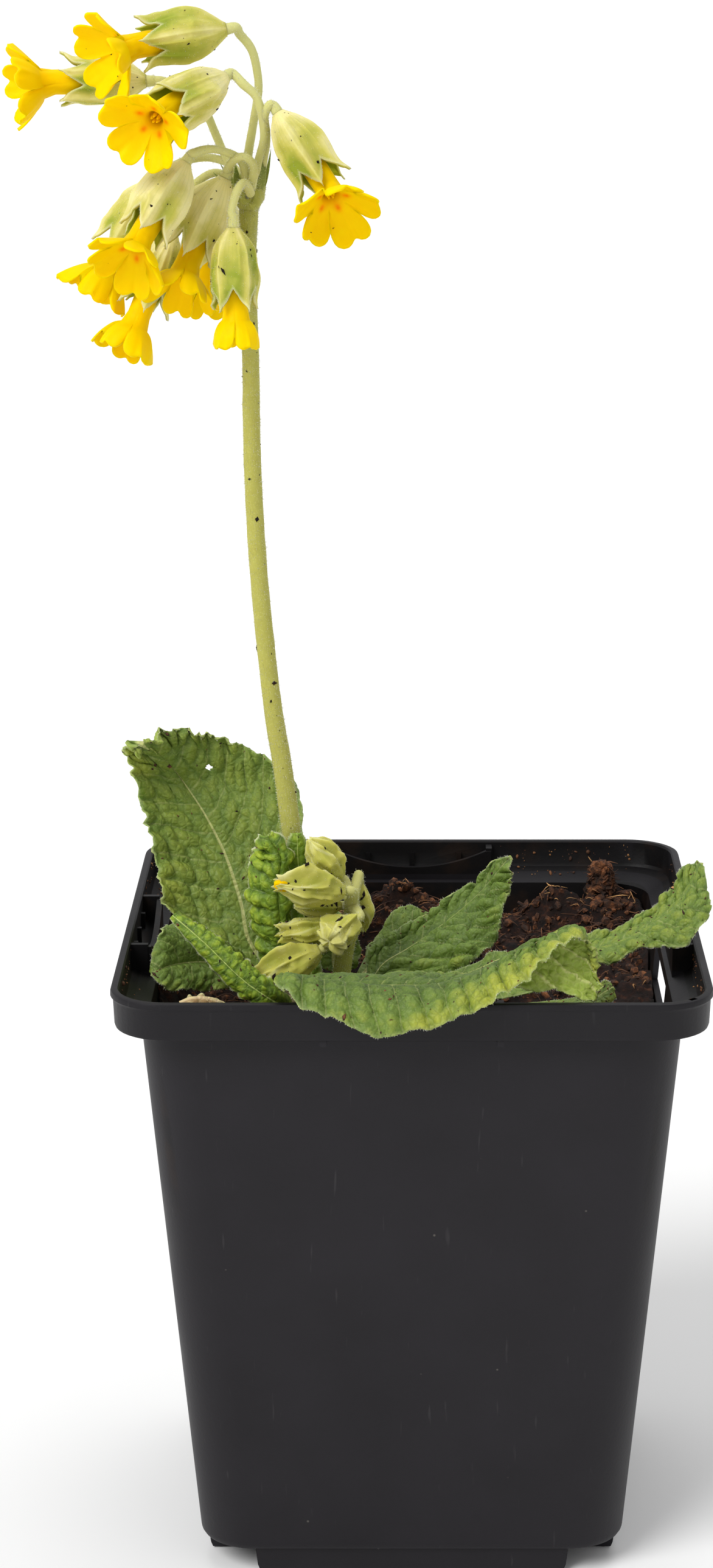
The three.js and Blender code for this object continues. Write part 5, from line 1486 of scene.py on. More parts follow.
def make_bud(number, bud):
    """One bud with its down and specks, and a core of petals if it has begun to open."""
    base = np.array(bud["base"])
    along = np.array(bud["tip"]) - base
    length = np.linalg.norm(along)
    axes = axes_along(along, 0)
    a = angles(96)[None]
    t = np.linspace(0, 1, 46)[:, None]
    ridge = 1 + 0.16 * (0.6 - np.abs(np.sin(2.5 * a)))
    round_about = np.stack(np.broadcast_arrays(2.2 * np.cos(a), 2.2 * np.sin(a), t * 1.6 + number * 5.3), -1)
    crease = 1 - np.abs(noise(round_about, 1.3, number))
    pleat = 0.42 * (crease**4 - 0.5) * smooth(t, 0.04, 0.3)
    # the teeth of the bag lap over each other like a twisted paper bag
    lap = (a * 5 / (2 * np.pi) + 1.1 * t) % 1
    seam = np.exp(-(((lap - 0.9) / 0.07) ** 2)) * smooth(t, 0.35, 0.6)
    step = 0.14 * (lap - 0.5) * smooth(t, 0.3, 0.6)
    # the end is drawn together in a point, or in a mouth with five short teeth round it
    mouth = bud.get("mouth", 0.14)
    profile = soft_table(BUD_HEIGHTS, BUD_SHAPE, t)
    profile = np.maximum(profile, mouth * smooth(t, 0.5, 0.8) * np.ones_like(t))
    tooth = 1 - fifth(a)
    star = 0.2 if bud.get("blunt") else mouth
    pointed = 1 + 0.5 * star * (tooth - 0.5) * smooth(t, 0.8, 1)
    r = bud["radius"] * profile * (ridge + pleat + step) * pointed
    z = t * length * (1 - (0.06 + 0.14 * star) * (1 - tooth) * smooth(t, 0.6, 1))
    place = np.stack([r * np.cos(a), r * np.sin(a), z], -1)
    bow = 0.5 * np.sin(np.pi * t) * np.sin(number * 2.1)
    crumple = 0.9 * noise(place + number * 11.3, 2.4, seed=41)
    crumple = crumple + 0.5 * noise(place + number * 4.1, 1.1, seed=42)
    place = place * np.stack([1 + crumple / 5, 1 + crumple / 5, np.ones_like(crumple)], -1)
    place[..., 0] += bow
    # an open end is closed by a hollow or a dome
    if mouth > 0.3:
        end = DOME if bud.get("blunt") else HOLLOW
        last = place[-1]
        for narrow, deep in end:
            ring = last * np.array([narrow, narrow, 1]) - np.array([0, 0, deep * bud["radius"]])
            place = np.concatenate([place, ring[None]])
        t = np.append(t, np.ones((len(end), 1)), axis=0)
        crease, seam = (np.append(v, np.repeat(v[-1:], len(end), 0), axis=0) for v in (crease, seam))
    rings = base + place @ axes
    points, faces = closed(rings)
    pale = 0.35 + 0.45 * (crease - 0.6) + 0.2 * noise(place, 2.5, number) + 0.2 * smooth(t, 0.6, 1)
    form = Form()
    turn = np.append(np.tile(0.1 + 0.9 * fifth(a), (len(t), 1)), [0.5, 0.5])
    form.add(points, faces, pale=np.append(pale, [0.5, 0.8]), inner=0.0,
             rim=np.append(0.35 * seam, [0, 0]), turn=turn)
    make_piece(f"bud_{number}_calyx", form, bud_calyx, f"bud_{number}")
    out = grid_normals(rings, wrap=True)
    out = out * np.sign(((rings - rings.mean(1, keepdims=True)) * out).sum(-1, keepdims=True).mean())
    pick = rng.integers(0, out.shape[0] * out.shape[1], 350)
    roots = rings.reshape(-1, 3)[pick]
    add_hairs(calyx_down, roots, out.reshape(-1, 3)[pick], length=0.3, width=0.025, rng=rng)
    add_specks(flower_specks, rings[4:-4], out[4:-4], count=26, rng=rng, biggest=0.4)
    if number == OPEN_BUD:
        form = Form()
        t = np.linspace(0, 1, 14)[:, None]
        a = angles(40)[None]
        r = bud["radius"] * 0.42 * np.interp(t, [0, 0.5, 0.8, 1], [0.9, 0.85, 0.7, 0.3])
        r = r * (1 + 0.2 * np.cos(3 * a + 5 * t))
        core = np.stack([r * np.cos(a), r * np.sin(a), (0.62 + 0.36 * t) * length * np.ones_like(a)], -1)
        form.add(*closed(base + core @ axes), mark=0.15, deep=0.1)
        make_piece("first_petals", form, silky_petal)


for number, bud in BUDS.items():
    make_bud(number, bud)
make_piece("calyx_down", calyx_down, white_down)
make_piece("flower_specks", flower_specks, moist_peat)
print("with the buds, hairs:", calyx_down.count // 4, "specks:", flower_specks.count // len(SPECK))

# %% [markdown]
# ## Leaves
# A cowslip's leaf is crinkled: its veins are sunk into the upper face, the blade swells between them, and
# the edge is frilled with small blunt teeth. A bump map would leave the outline smooth, so veins and
# blisters are real relief here. A leaf's own flat map, in millimetres along and across the midrib, says
# where its veins run.
#
# Each leaf hangs between its midrib and its edges a and b, and pairs of values are for those halves. bulge
# arches them, wave and waves frill the edge, and upper is 1 where the upper face is to the front. In look,
# spacing, lean and climb lay out the side veins, puff swells the blade between them, dome and cell are the
# blisters' height and size, and calm flattens them at the edge. tone goes from dark at 0 to yellow green at
# 1. painted_relief scales the painted light on the swellings and the painted shade in the hollows, and
# yellow, even and ripe change the colour at the edge and the tip. rib, rib_end and groove are the midrib's
# width, end and depth, rim is how pale the edge is, and fold is where a tip leans forward.
# %% Leaf values
LEAVES = {
    "back_left": dict(
        bulge=(-0.1, -0.08), wave=0.45, waves=5,
        a=[[-22.4, 1.2, 87], [-31.5, 0, 92], [-39.3, 3, 98], *seen((258, 1430, 5), (243, 1360, 7),
            (230, 1305, 8), (219, 1262, 7), (203, 1238, 6), (207, 1215, 4.5), (224, 1207, 3.4))],
        rib=[[-21.6, 2.2, 86.7], [-26, 4, 92.5], [-27.5, 7, 98], [-30, 10, 105], *seen((338, 1340, 12),
            (305, 1290, 13), (283, 1262, 11), (262, 1240, 8.5), (243, 1224, 6), (226, 1210, 3.8))],
        b=[[-20.6, 3.2, 87], [-22, 6, 92.5], [-19, 8, 100.5], *seen((498, 1388, 9), (496, 1322, 11),
            (472, 1264, 14), (412, 1232, 14), (345, 1205, 12), (278, 1201, 8.5), (228, 1205, 3.6))],
        look=dict(spacing=5.2, lean=(0.3, 0.75), climb=(0.01, 0.045), puff=0.5, dome=0.75,
            yellow=(0.3, 0.1), tone=0.52, cell=3.2, rib_end=0.8, painted_relief=0.6, fold=(226, 1206, 34, 22)),
    ),
    "low_left": dict(
        bulge=(-0.1, -0.1), wave=0.6, waves=4, upper=1,
        a=[[-21.9, -3.4, 87], [-27, -6, 93.5], [-31.5, -9, 98], [-36, -12, 100.5], [-39, -16, 100.5],
            *seen((249, 1570, -19), (247, 1598, -20))],
        rib=[[-21.9, -4.4, 86.7], [-27.5, -8, 91.5], [-31.5, -12, 94], [-34.5, -15, 95], [-37, -18, 95.5],
            [-38.5, -20, 95.5], *seen((248, 1600, -21))],
        b=[[-21.7, -5.4, 87], [-26.5, -11, 89.5], [-29.5, -14, 90], [-32.5, -17, 91], [-35.5, -20, 92],
            [-38, -22, 93], [-40, -21.5, 95]],
        look=dict(spacing=4.2, lean=(0.6, 0.6), climb=(0.02, 0.02), puff=0.35, dome=0.4, yellow=(0.2, 0.2),
            tone=0.34, rib=0.3),
    ),
    "right": dict(
        bulge=(-0.06, 0.12), wave=0.7, waves=4,
        a=[[-7.2, -1.6, 87.1], *seen((607, 1550, 4), (652, 1530, 7), (700, 1500, 9), (750, 1467, 10),
            (792, 1434, 10), (820, 1410, 9), (836, 1407, 7))],
        rib=[[-6.9, -2.6, 86.7], *seen((628, 1584, 1), (672, 1556, 4), (716, 1526, 6), (757, 1494, 7),
            (792, 1462, 8), (820, 1430, 8), (839, 1409, 7))],
        b=[[-6.9, -3.6, 87.1], [-3.5, -3, 87.5], *seen((705, 1617, -4), (764, 1594, -4), (802, 1558, -2),
            (828, 1512, 1), (835, 1452, 4), (841, 1414, 6))],
        look=dict(spacing=4.4, lean=(0.7, 0.8), climb=(0.03, 0.03), puff=1.3, dome=1.3, cell=2.8,
            yellow=(0.1, 0.25), tone=0.24, rib=0.25),
    ),
    "back": dict(
        bulge=(0.08, 0.08), wave=0.4, waves=3,
        a=[[-8.9, 3.2, 87.1], *seen((613, 1546, 12), (632, 1518, 14), (650, 1494, 15), (670, 1488, 16),
            (690, 1494, 16), (704, 1501, 16))],
        rib=[[-8.2, 2.3, 86.7], *seen((626, 1566, 10), (648, 1543, 12), (668, 1522, 13), (684, 1511, 14),
            (697, 1505, 15), (707, 1503, 15))],
        b=[[-7.6, 1.4, 87.1], [-3.5, 9, 87], *seen((672, 1567, 10), (694, 1545, 11), (706, 1528, 12),
            (711, 1513, 13), (710, 1505, 14))],
        look=dict(spacing=4.0, lean=(0.8, 0.8), climb=(0.02, 0.02), puff=0.3, dome=0.18, yellow=(0.1, 0.1),
            tone=0.36),
    ),
    "front": dict(
        bulge=(-0.2, -0.12), wave=0.3, waves=8, upper=1,
        a=[[-16.6, -10.6, 87], [-18.6, -22, 93.2], [-19.8, -41.5, 100.2], [-17, -47.2, 99.2],
            [-10.5, -48.8, 96.4], *seen((625, 1703, -49.5), (690, 1694, -49.5), (750, 1675, -49),
            (805, 1650, -48), (848, 1624, -47), (890, 1585, -45), (930, 1550, -42), (962, 1544, -38))],
        rib=[[-15.8, -10.8, 86.7], [-17.4, -22, 93.2], [-18.5, -38, 99.2], [-14, -41, 100.2],
            [-8.5, -42.5, 100.4], [-2.5, -43, 100.4], *seen((710, 1617, -42.5), (765, 1604, -41.5),
            (820, 1580, -40), (868, 1552, -38.5), (905, 1537, -37), (938, 1522, -35.5), (964, 1543, -36))],
        b=[[-15, -10.9, 87], [-16.2, -22, 93.6], [-16.5, -34, 97], [-12.5, -33, 96.5], [-7, -34, 97],
            *seen((660, 1604, -35), (715, 1603, -35)), [9, -38, 99.6], [14, -40.2, 99.4], [18, -41.2, 99],
            [22.5, -41.6, 98.6], *seen((982, 1640, -41), (970, 1560, -36))],
        look=dict(spacing=3.4, lean=(0.3, 0.5), climb=(0.01, 0.02), puff=1.1, dome=0.3, yellow=(0.4, 0.38),
            tone=0.16, even=0.5, ripe=0.4),
    ),
    "far_right": dict(
        bulge=(-0.1, 0.14), wave=0.5, waves=6,
        a=[[-8.9, -8.4, 87.1], [3, -15, 90], [16.5, -19, 94], [26, -14, 98.5], [31.5, -12.5, 99.8],
            [35, -11.5, 101.2], *seen((1080, 1480, -9), (1105, 1455, -8), (1126, 1424, -7),
            (1146, 1414, -7))],
        rib=[[-9.4, -9.2, 86.7], [2.6, -17.5, 90], [16, -21.5, 93], [25.5, -18, 97], [31.5, -16, 98.6],
            *seen((1050, 1530, -15.5), (1088, 1507, -14.5), (1118, 1480, -13), (1140, 1445, -11),
            (1150, 1417, -9))],
        b=[[-10.2, -9.8, 87.1], [2, -20, 90.5], [15.5, -24.5, 92.5], [26, -21.5, 96], [32.5, -19.5, 97],
            *seen((1062, 1554, -19)), [39.5, -21, 98.8], [43, -20.5, 100.4], *seen((1166, 1500, -17),
            (1158, 1424, -11))],
        look=dict(spacing=4.0, lean=(0.6, 0.6), climb=(0.02, 0.02), puff=0.6, dome=0.4, yellow=(0.1, 0.15),
            tone=0.46, rib=0.5),
    ),
    "middle": dict(
        bulge=(0.06, 0.06), wave=0.5, waves=3,
        a=[[-12.6, 5, 87], [-16, 5.9, 88], [-17, 6.4, 90], [-17.5, 6.9, 92.5], [-16.5, 7.3, 95],
            [-14, 7.6, 96.5]],
        rib=[[-11.6, 5, 86.7], [-12.5, 5.5, 88], [-12.6, 6, 90], [-12.6, 6.4, 92.5], [-12.8, 7, 95],
            [-13, 7.6, 96.5]],
        b=[[-10.7, 4.6, 87], [-8.8, 4.6, 88], [-8.2, 5, 90], [-8.5, 5.5, 92], [-9.5, 6.2, 94.5],
            [-12, 7.6, 96.5]],
        look=dict(spacing=2.6, lean=(0.6, 0.6), puff=0.5, dome=0.3, yellow=(0.2, 0.2),
            tone=0.35),
    ),
    "small_right": dict(
        bulge=(-0.1, 0.1), wave=0.3, waves=3,
        a=[[-6.7, -5.2, 87.1], [3.5, -7.2, 90], [9.5, -8, 92.5], [12.5, -8.4, 94.6], [14.8, -9.4, 95]],
        rib=[[-6.9, -6, 86.7], [3.5, -8.6, 89.8], [9.5, -10, 91.8], [13.2, -10.6, 93.8],
            [15.5, -10.8, 94.8]],
        b=[[-7.2, -6.8, 87.1], [3.3, -10, 90], [9.3, -12, 91.6], [13.8, -12.8, 93], [16, -12, 94.4]],
        look=dict(spacing=2.6, lean=(0.7, 0.7), puff=0.4, dome=0.25, yellow=(0.1, 0.1),
            tone=0.3),
    ),
    "low_right": dict(
        bulge=(-0.1, 0.1), wave=0.25, waves=5,
        a=[[-12.6, -10.7, 87.1], [2, -25, 91.6], *seen((850, 1648, -28), (960, 1634, -29),
            (990, 1611, -29)), [30, -29.5, 96.4]],
        rib=[[-13.3, -11, 86.7], [1.6, -26.4, 91.4], *seen((850, 1655, -30), (960, 1646, -31),
            (995, 1630, -31), (1009, 1622, -31))],
        b=[[-14.1, -11.1, 87.1], [1.2, -27.8, 91.6], *seen((850, 1662, -32)), [26, -33, 93.6],
            *seen((998, 1650, -33), (1013, 1640, -32))],
        look=dict(spacing=3.0, lean=(0.6, 0.6), puff=0.25, dome=0.15, yellow=(0.3, 0.3),
            tone=0.45),
    ),
}
# young leaves: the side that half a is on, how far the halves are rolled in degrees, and their width at five
# even steps along the midrib
ROLLED = {
    "young_front": dict(
        side=(-0.5, -0.5, -0.7), roll=(100, 100), wave=0.15, waves=9,
        width=((1.6, 2.7, 2.5, 2.1, 1.6), (2, 4.0, 4.2, 3.8, 2.8)),
        rib=[[-19.4, -9.6, 86.8], [-22.8, -19, 90.5], *seen((390, 1610, -20), (336, 1556, -19),
            (283, 1506, -17))],
        look=dict(spacing=1.8, lean=(0.2, 0.2), puff=1.0, dome=0.8, cell=1.4,
            yellow=(0.1, 0.1), tone=0.42, groove=0.6, rim=1.0, rib=0.4, calm=0.3, painted_relief=2.2),
    ),
    "young_left": dict(
        side=(-1, -0.25, 0.1), roll=(105, 105), wave=0.4, waves=7,
        width=((2.4, 5.6, 7, 6.8, 5.4), (2.2, 2.9, 3.2, 3.4, 3.2)),
        rib=[[-20.2, -2.4, 86.8], [-20.9, -3, 92], [-21.3, -3.2, 98.5], [-21.7, -3.4, 105],
            [-21.1, -3.8, 110], [-22.6, -5.2, 113.3]],
        look=dict(spacing=2.7, lean=(0.15, 0.3), puff=1.5, dome=0.4, cell=2.4,
            yellow=(0.15, 0.15), tone=0.42, groove=0.6, rim=1.0, rib=0.35, calm=0.3, painted_relief=1.8),
    ),
    "young_middle": dict(
        side=(-1, -0.1, 0), roll=(40, 40), wave=0.2, waves=4,
        width=((2, 1.8, 1.8, 1.9, 2.2), (2, 1.8, 1.8, 1.9, 2.2)),
        rib=[[-15.6, -2.4, 86.8], [-16.4, -3, 92], [-17.2, -3, 100], [-17.9, -3, 107],
            [-18.1, -3.2, 112.5]],
        look=dict(spacing=2.2, lean=(0.3, 0.3), puff=0.6, dome=0.2, yellow=(0.2, 0.2),
            tone=0.4, rim=0.6, rib=0.35),
    ),
}
DRY_LEAF = dict(
    bulge=(0.2, 0.2), wave=1.1, waves=9,
    a=[[-20.9, -10, 85.6], [-21.3, -17, 85.4], [-23.6, -25.4, 87], [-27, -31, 92.2], [-30, -34, 95.3],
        [-33, -35.4, 96.2], [-34.5, -36.4, 95.4]],
    rib=[[-20.2, -10.8, 85.3], [-20.6, -17, 85], [-22.6, -26, 86.6], [-26, -32.5, 92], [-29.5, -35.6, 95.3],
        [-32.5, -37.5, 96.2], [-34.5, -38, 95.7]],
    b=[[-19.4, -11.5, 85.6], [-19.9, -17, 85.4], [-21.8, -26.6, 87], [-25.6, -34, 91.8], [-29.5, -37, 94.8],
        [-32.5, -39, 95.7], [-34, -39, 95.7]],
    look=dict(spacing=3.0, lean=(0.6, 0.6), puff=0.8, dome=0.6, yellow=(0.3, 0.3), tone=0.3,
        rim=0.7),
)
print("leaves:", len(LEAVES) + len(ROLLED) + 1)

# %% [markdown]
# The green is never even: blue green along the midrib, yellow green at the edge, pale in the veins, and
# greyer under the leaf. Light and shade are painted in as well: lighter on the swellings and darker in the
# hollows between them. The relief of the mesh does the big forms, and the material adds the finest network,
# painted dark as shade where it is sunk in the upper face, and the felt of hairs that dulls the surface.
# %% Leaf finishes


def leaf_material(name, dark, light, veins, below):
    """Living leaf tissue: matte, a little see-through, crossed by thin pale veins and dulled by down."""
    material, tree, shader, places = start_material(name)
    value = {
        key: add(tree, "Attribute", attribute_name=key).outputs["Fac"]
        for key in ("hue", "side", "rib", "under", "rim")
    }
    blotch = add(tree, "TexNoise", {"Vector": places, "Scale": PER_MM / 2.5, "Detail": 5})
    uneven = add(tree, "MapRange", {
        "Value": blotch.outputs["Fac"], "To Min": -0.17, "To Max": 0.17,
    })
    hue = add(tree, "Math", {
        0: value["hue"], 1: uneven.outputs[0],
    }, operation="ADD", use_clamp=True)
    blade = add(tree, "ValToRGB", {"Fac": hue.outputs[0]},
                stops=[(0.0, dark[0]), (1.0, light), (0.45, dark[1])])
    # side counts the side veins along the leaf, so each whole number is the middle of one
    off_vein = add(tree, "Math", {0: value["side"], 1: 0.5}, operation="PINGPONG")
    strength = add(tree, "MapRange", {"Value": value["under"], "To Min": 0.26, "To Max": 0.7})
    side_vein = add(tree, "MapRange", {
        "Value": off_vein.outputs[0], "From Min": 0.01, "From Max": 0.05,
        "To Min": strength.outputs[0], "To Max": 0.0,
    })
    off_rib = add(tree, "Math", {0: value["rib"]}, operation="ABSOLUTE")
    midrib = add(tree, "MapRange", {
        "Value": off_rib.outputs[0], "From Min": 0.7, "From Max": 1.15, "To Min": 0.9, "To Max": 0.0,
    })
    vein = add(tree, "Math", {0: side_vein.outputs[0], 1: midrib.outputs[0]}, operation="MAXIMUM")
    net = add(tree, "TexVoronoi", {
        "Vector": places, "Scale": PER_MM / 1.1,
    }, feature="DISTANCE_TO_EDGE")
    net_line = add(tree, "MapRange", {
        "Value": net.outputs["Distance"], "From Min": 0.0, "From Max": 0.12, "To Min": 0.22, "To Max": 0.0,
    })
    # the net of small veins is sunk above, where it is painted dark as shade, and raised and pale below
    net_shade_and_vein = add(tree, "Mix", {
        FACTOR: value["under"], MIX_A: dark[0], MIX_B: veins,
    }, data_type="RGBA")
    felt = add(tree, "TexVoronoi", {"Vector": places, "Scale": PER_MM / 0.3})
    tips = add(tree, "MapRange", {
        "Value": felt.outputs["Distance"], "From Min": 0.1, "From Max": 0.5, "To Min": 0.16, "To Max": 0.0,
    })
    colour = blade.outputs["Color"]
    for cover, over in (
        (value["under"], below), (vein.outputs[0], veins), (net_line.outputs[0], net_shade_and_vein.outputs[MIXED]),
        (tips.outputs[0], "#abb56f"), (value["rim"], "#c8cf9f"),
    ):
        colour = add(tree, "Mix", {
            FACTOR: cover, MIX_A: colour, MIX_B: over,
        }, data_type="RGBA").outputs[MIXED]
    swells = add(tree, "MapRange", {"Value": net.outputs["Distance"], "From Max": 0.35})
    relief = add(tree, "Bump", {"Height": swells.outputs[0], "Strength": 0.5, "Distance": 0.0003})
    feed(tree, shader, {
        "Base Color": colour, "Normal": relief.outputs[0],
        "Roughness": 0.55, "Specular IOR Level": 0.3,
        "Subsurface Weight": 0.3, "Subsurface Radius": (0.0005, 0.0008, 0.0002), "Subsurface Scale": 1.0,
    })
    print(name, "nodes:", len(tree.nodes))
    return material


leaf_green = leaf_material("living_leaf", ("#42591f", "#687f32"), "#a0a63a", "#b9bb78", "#94a743")
young_green = leaf_material("young_leaf", ("#3f5c18", "#749026"), "#b4c438", "#b4c46a", "#86a242")
dead_leaf = leaf_material("withered_leaf", ("#6d5236", "#a98c62"), "#dcc79a", "#d9c296", "#a08358")

# %% [markdown]
# Every leaf starts as a bare surface: leaf_surface hangs a blade between its edges, and rolled_surface rolls
# a young leaf's halves back. finish_leaf works out where the veins and blisters lie on the leaf's flat map,
# moves the points by them, makes the blade thick, and passes the values that the material reads. A
# displacement texture would need the same map, laid out by hand.
# %% Leaf relief
LEAF_THICKNESS = 0.4


def finish_leaf(name, p, share, half, width, length, leaf, material, slot, holes=()):
    """Gives a bare leaf surface its veins, blisters, colour values and thickness."""
    look = leaf["look"]
    upper = leaf.get("upper", -1)
    seed = sum(map(ord, name))
    u = width * share * np.where(half, 1, -1)
    w = np.broadcast_to(length[:, None], u.shape)
    s = (length / length[-1])[:, None]
    flat = np.stack([u, w], -1)
    drift = 0.8 * noise(flat, 7.0, seed) + 0.25 * noise(flat, 2.2, seed + 1)
    lean = np.where(half, look["lean"][1], look["lean"][0])
    climb = look.get("climb", (0, 0))
    climb = np.where(half, climb[1], climb[0])
    along = w - lean * np.abs(u) - climb * u**2 + drift * smooth(np.abs(u), 0, 3) + half * look["spacing"] / 2
    side = along / look["spacing"]
    swelling = np.abs(np.sin(np.pi * side)) ** 0.7
    cells = np.stack([np.abs(u) * 1.1 + drift, along + 0.4 * noise(flat, 2.0, seed + 3)], -1)
    size = look.get("cell", 2.3)
    blister = 1 - np.exp(-((cell_gap(cells, size, seed) / (0.3 * size)) ** 2))
    small = 1 - np.exp(-((cell_gap(cells + 40, 1.1, seed) / 0.4) ** 2))
    rib_half = 0.44 - 0.32 * s
    midrib = np.exp(-((u / (rib_half * 1.9)) ** 2))
    blade = smooth(np.abs(u), 0.3, 2.2) * smooth(width, 1.2, 4.5) * smooth(s, 0.02, 0.15)
    crinkle = 0.55 + 0.45 * share + 1.0 * smooth(s, 0.75, 0.95)
    height = look["puff"] * (swelling - 0.55) * (0.35 + 0.65 * smooth(share, 0.1, 0.9))
    height = height + look["dome"] * crinkle * (blister - 0.5) + 0.13 * (small - 0.5)
    height = height * (1 - look.get("calm", 0.0) * smooth(share, 0.45, 0.75))
    # a tip that is folded forward stands in front of the blade and is blistered more
    folded = 0.0
    if "fold" in look:
        across, down = pixel(p)
        fold_u, fold_v, wide, tall = look["fold"]
        folded = smooth(1 - np.hypot((across - fold_u) / wide, (down - fold_v) / tall), 0, 0.35)
        height = height * (1 + 0.5 * folded)
    height = 1.8 * folded + blade * (height + 0.45 * noise(flat, 8.0, seed + 9))
    height = height - look.get("groove", 0.3) * midrib * smooth(width, 1, 4)
    normal = grid_normals(p) * upper
    middle = p + normal * height[..., None]
    thick = LEAF_THICKNESS * (1 - 0.45 * smooth(share, 0.75, 1))[..., None] / 2
    ridge = (0.8 * midrib * (1 - 0.6 * s) + 0.35 * (1 - swelling) ** 3 * blade)[..., None]
    normal = grid_normals(middle) * upper
    front = middle + normal * thick
    back = middle - normal * (thick + ridge)
    yellow = np.where(half, look["yellow"][1], look["yellow"][0])
    patch = smooth(noise(flat, 5.0, seed + 5) + 0.5 * noise(flat, 2.0, seed + 6), -0.5, 0.7)
    even = look.get("even", 0.0)
    patch = even + (1 - even) * patch
    # painted light and shade: the blade is painted lighter where its relief stands high and darker in its
    # hollows
    relief_light_and_shade = 0.2 * (blister - 0.6) + 0.08 * (small - 0.6)
    relief_light_and_shade = relief_light_and_shade + (0.1 + 0.12 * look["puff"]) * (swelling - 0.6) * smooth(share, 0, 0.4)
    hue = look["tone"] + look.get("painted_relief", 1.0) * relief_light_and_shade + yellow * smooth(share, 0.35, 1) * patch
    hue = hue + look.get("ripe", 0.0) * smooth(s, 0.45, 0.8) * smooth(share, 0.3, 0.9)
    rim = smooth(0.4 - width * (1 - share), 0, 0.4) * look.get("rim", 0.2)
    rib_end = look.get("rib_end", 1.1)
    shown = look.get("rib", 1.0) * (1 - smooth(s, rib_end, rib_end + 0.1)) + 0.05
    keep = np.ones(u.shape, bool)
    across, down = pixel(middle)
    for hole_u, hole_v, wide, high in holes:
        keep &= np.hypot((across - hole_u) / wide, (down - hole_v) / high) > 1 + 0.25 * noise(flat, 0.9, seed)
    faces_up, faces_down = (front, back) if upper > 0 else (back, front)
    points, faces = shell(faces_up, faces_down, keep[:-1, :-1])
    values = {"hue": hue, "side": side, "rib": u / (rib_half * shown), "rim": rim}
    values = {key: np.tile(np.broadcast_to(value, u.shape).ravel(), 2) for key, value in values.items()}
    under = np.repeat([0.0, 1.0] if upper > 0 else [1.0, 0.0], u.size)
    form = Form()
    form.add(points, faces, under=under, **values)
    made = make_piece(f"leaf_{name}_blade", form, material, f"leaf_{name}")
    print("leaf", name, "faces:", len(made.data.polygons), "length in mm:", round(float(length[-1]), 1))
    return front, back, normal


# %% Bare leaf surfaces
MESH_STEP = 0.36


def leaf_surface(leaf):
    """A blade that hangs between its two edges and its midrib, arched, frilled and finely toothed."""
    t = np.linspace(0, 1, 200)
    path = curve(leaf["rib"], t)
    total = np.linalg.norm(np.diff(path, axis=0), axis=1).sum()
    widest = max(np.linalg.norm(curve(leaf[key], t) - path, axis=1).max() for key in ("a", "b"))
    rows = int(total / MESH_STEP)
    cols = int(widest / MESH_STEP)
    s = np.linspace(0, 1, rows + 1)
    middle = curve(leaf["rib"], s)
    edges = [curve(leaf[key], s) for key in ("a", "b")]
    normal = unit(np.cross(edges[1] - edges[0], heading(leaf["rib"], s)))
    x = np.linspace(-1, 1, 2 * cols + 1)
    half = np.broadcast_to(x > 0, (rows + 1, len(x)))
    share = np.broadcast_to(np.abs(x), half.shape)
    spans = [np.linalg.norm(edge - middle, axis=1)[:, None] for edge in edges]
    width = np.where(half, spans[1], spans[0])
    length = np.concatenate([[0], np.cumsum(np.linalg.norm(np.diff(middle, axis=0), axis=1))])
    way = np.where(half[:1, :, None], edges[1][:, None], edges[0][:, None])
    steps = np.linalg.norm(np.diff(way, axis=0), axis=-1)
    rim_length = np.concatenate([np.zeros((1, len(x))), np.cumsum(steps, 0)])
    wander = 0.8 * noise(np.stack([rim_length, half * 30.0], -1), 3.0, rows)
    tooth = 0.28 * np.abs(np.sin(np.pi * (rim_length + wander) / 2.1)) ** 0.6 * smooth(width, 1.5, 4)
    curl = 0.35 * noise(np.stack([rim_length, half * 50.0], -1), 2.6, rows + 4) * share**5
    frill = leaf["wave"] * np.sin(2 * np.pi * leaf["waves"] * s[:, None] + half * 1.9) * share**2
    fade = np.clip(width / 4, 0, 1) * np.clip((1 - s[:, None]) * 6, 0, 1) * np.clip(s[:, None] * 8, 0, 1)
    bulge = np.where(half, leaf["bulge"][1], leaf["bulge"][0])
    lift = width * bulge * 4 * share * (1 - share) + (frill + curl) * fade
    reach = share + (tooth - 0.3) / np.maximum(width, 1) * share**6 * fade
    p = middle[:, None] + (way - middle[:, None]) * reach[..., None] + normal[:, None] * lift[..., None]
    return p, share, half, width, length


def swell(s):
    """A young leaf's width along its length: quick to open, quick to close."""
    rise, fall = 0.27, 0.3
    widest = rise / (rise + fall)
    t = np.clip(s, 1e-4, 0.985)
    shape = (t**rise * (1 - t) ** fall) / (widest**rise * (1 - widest) ** fall)
    return np.maximum(shape, 0.3 * (1 - s * 4))


# how far the edge of a rolled half turns outward again
ROLLED_FLARE = 0.6


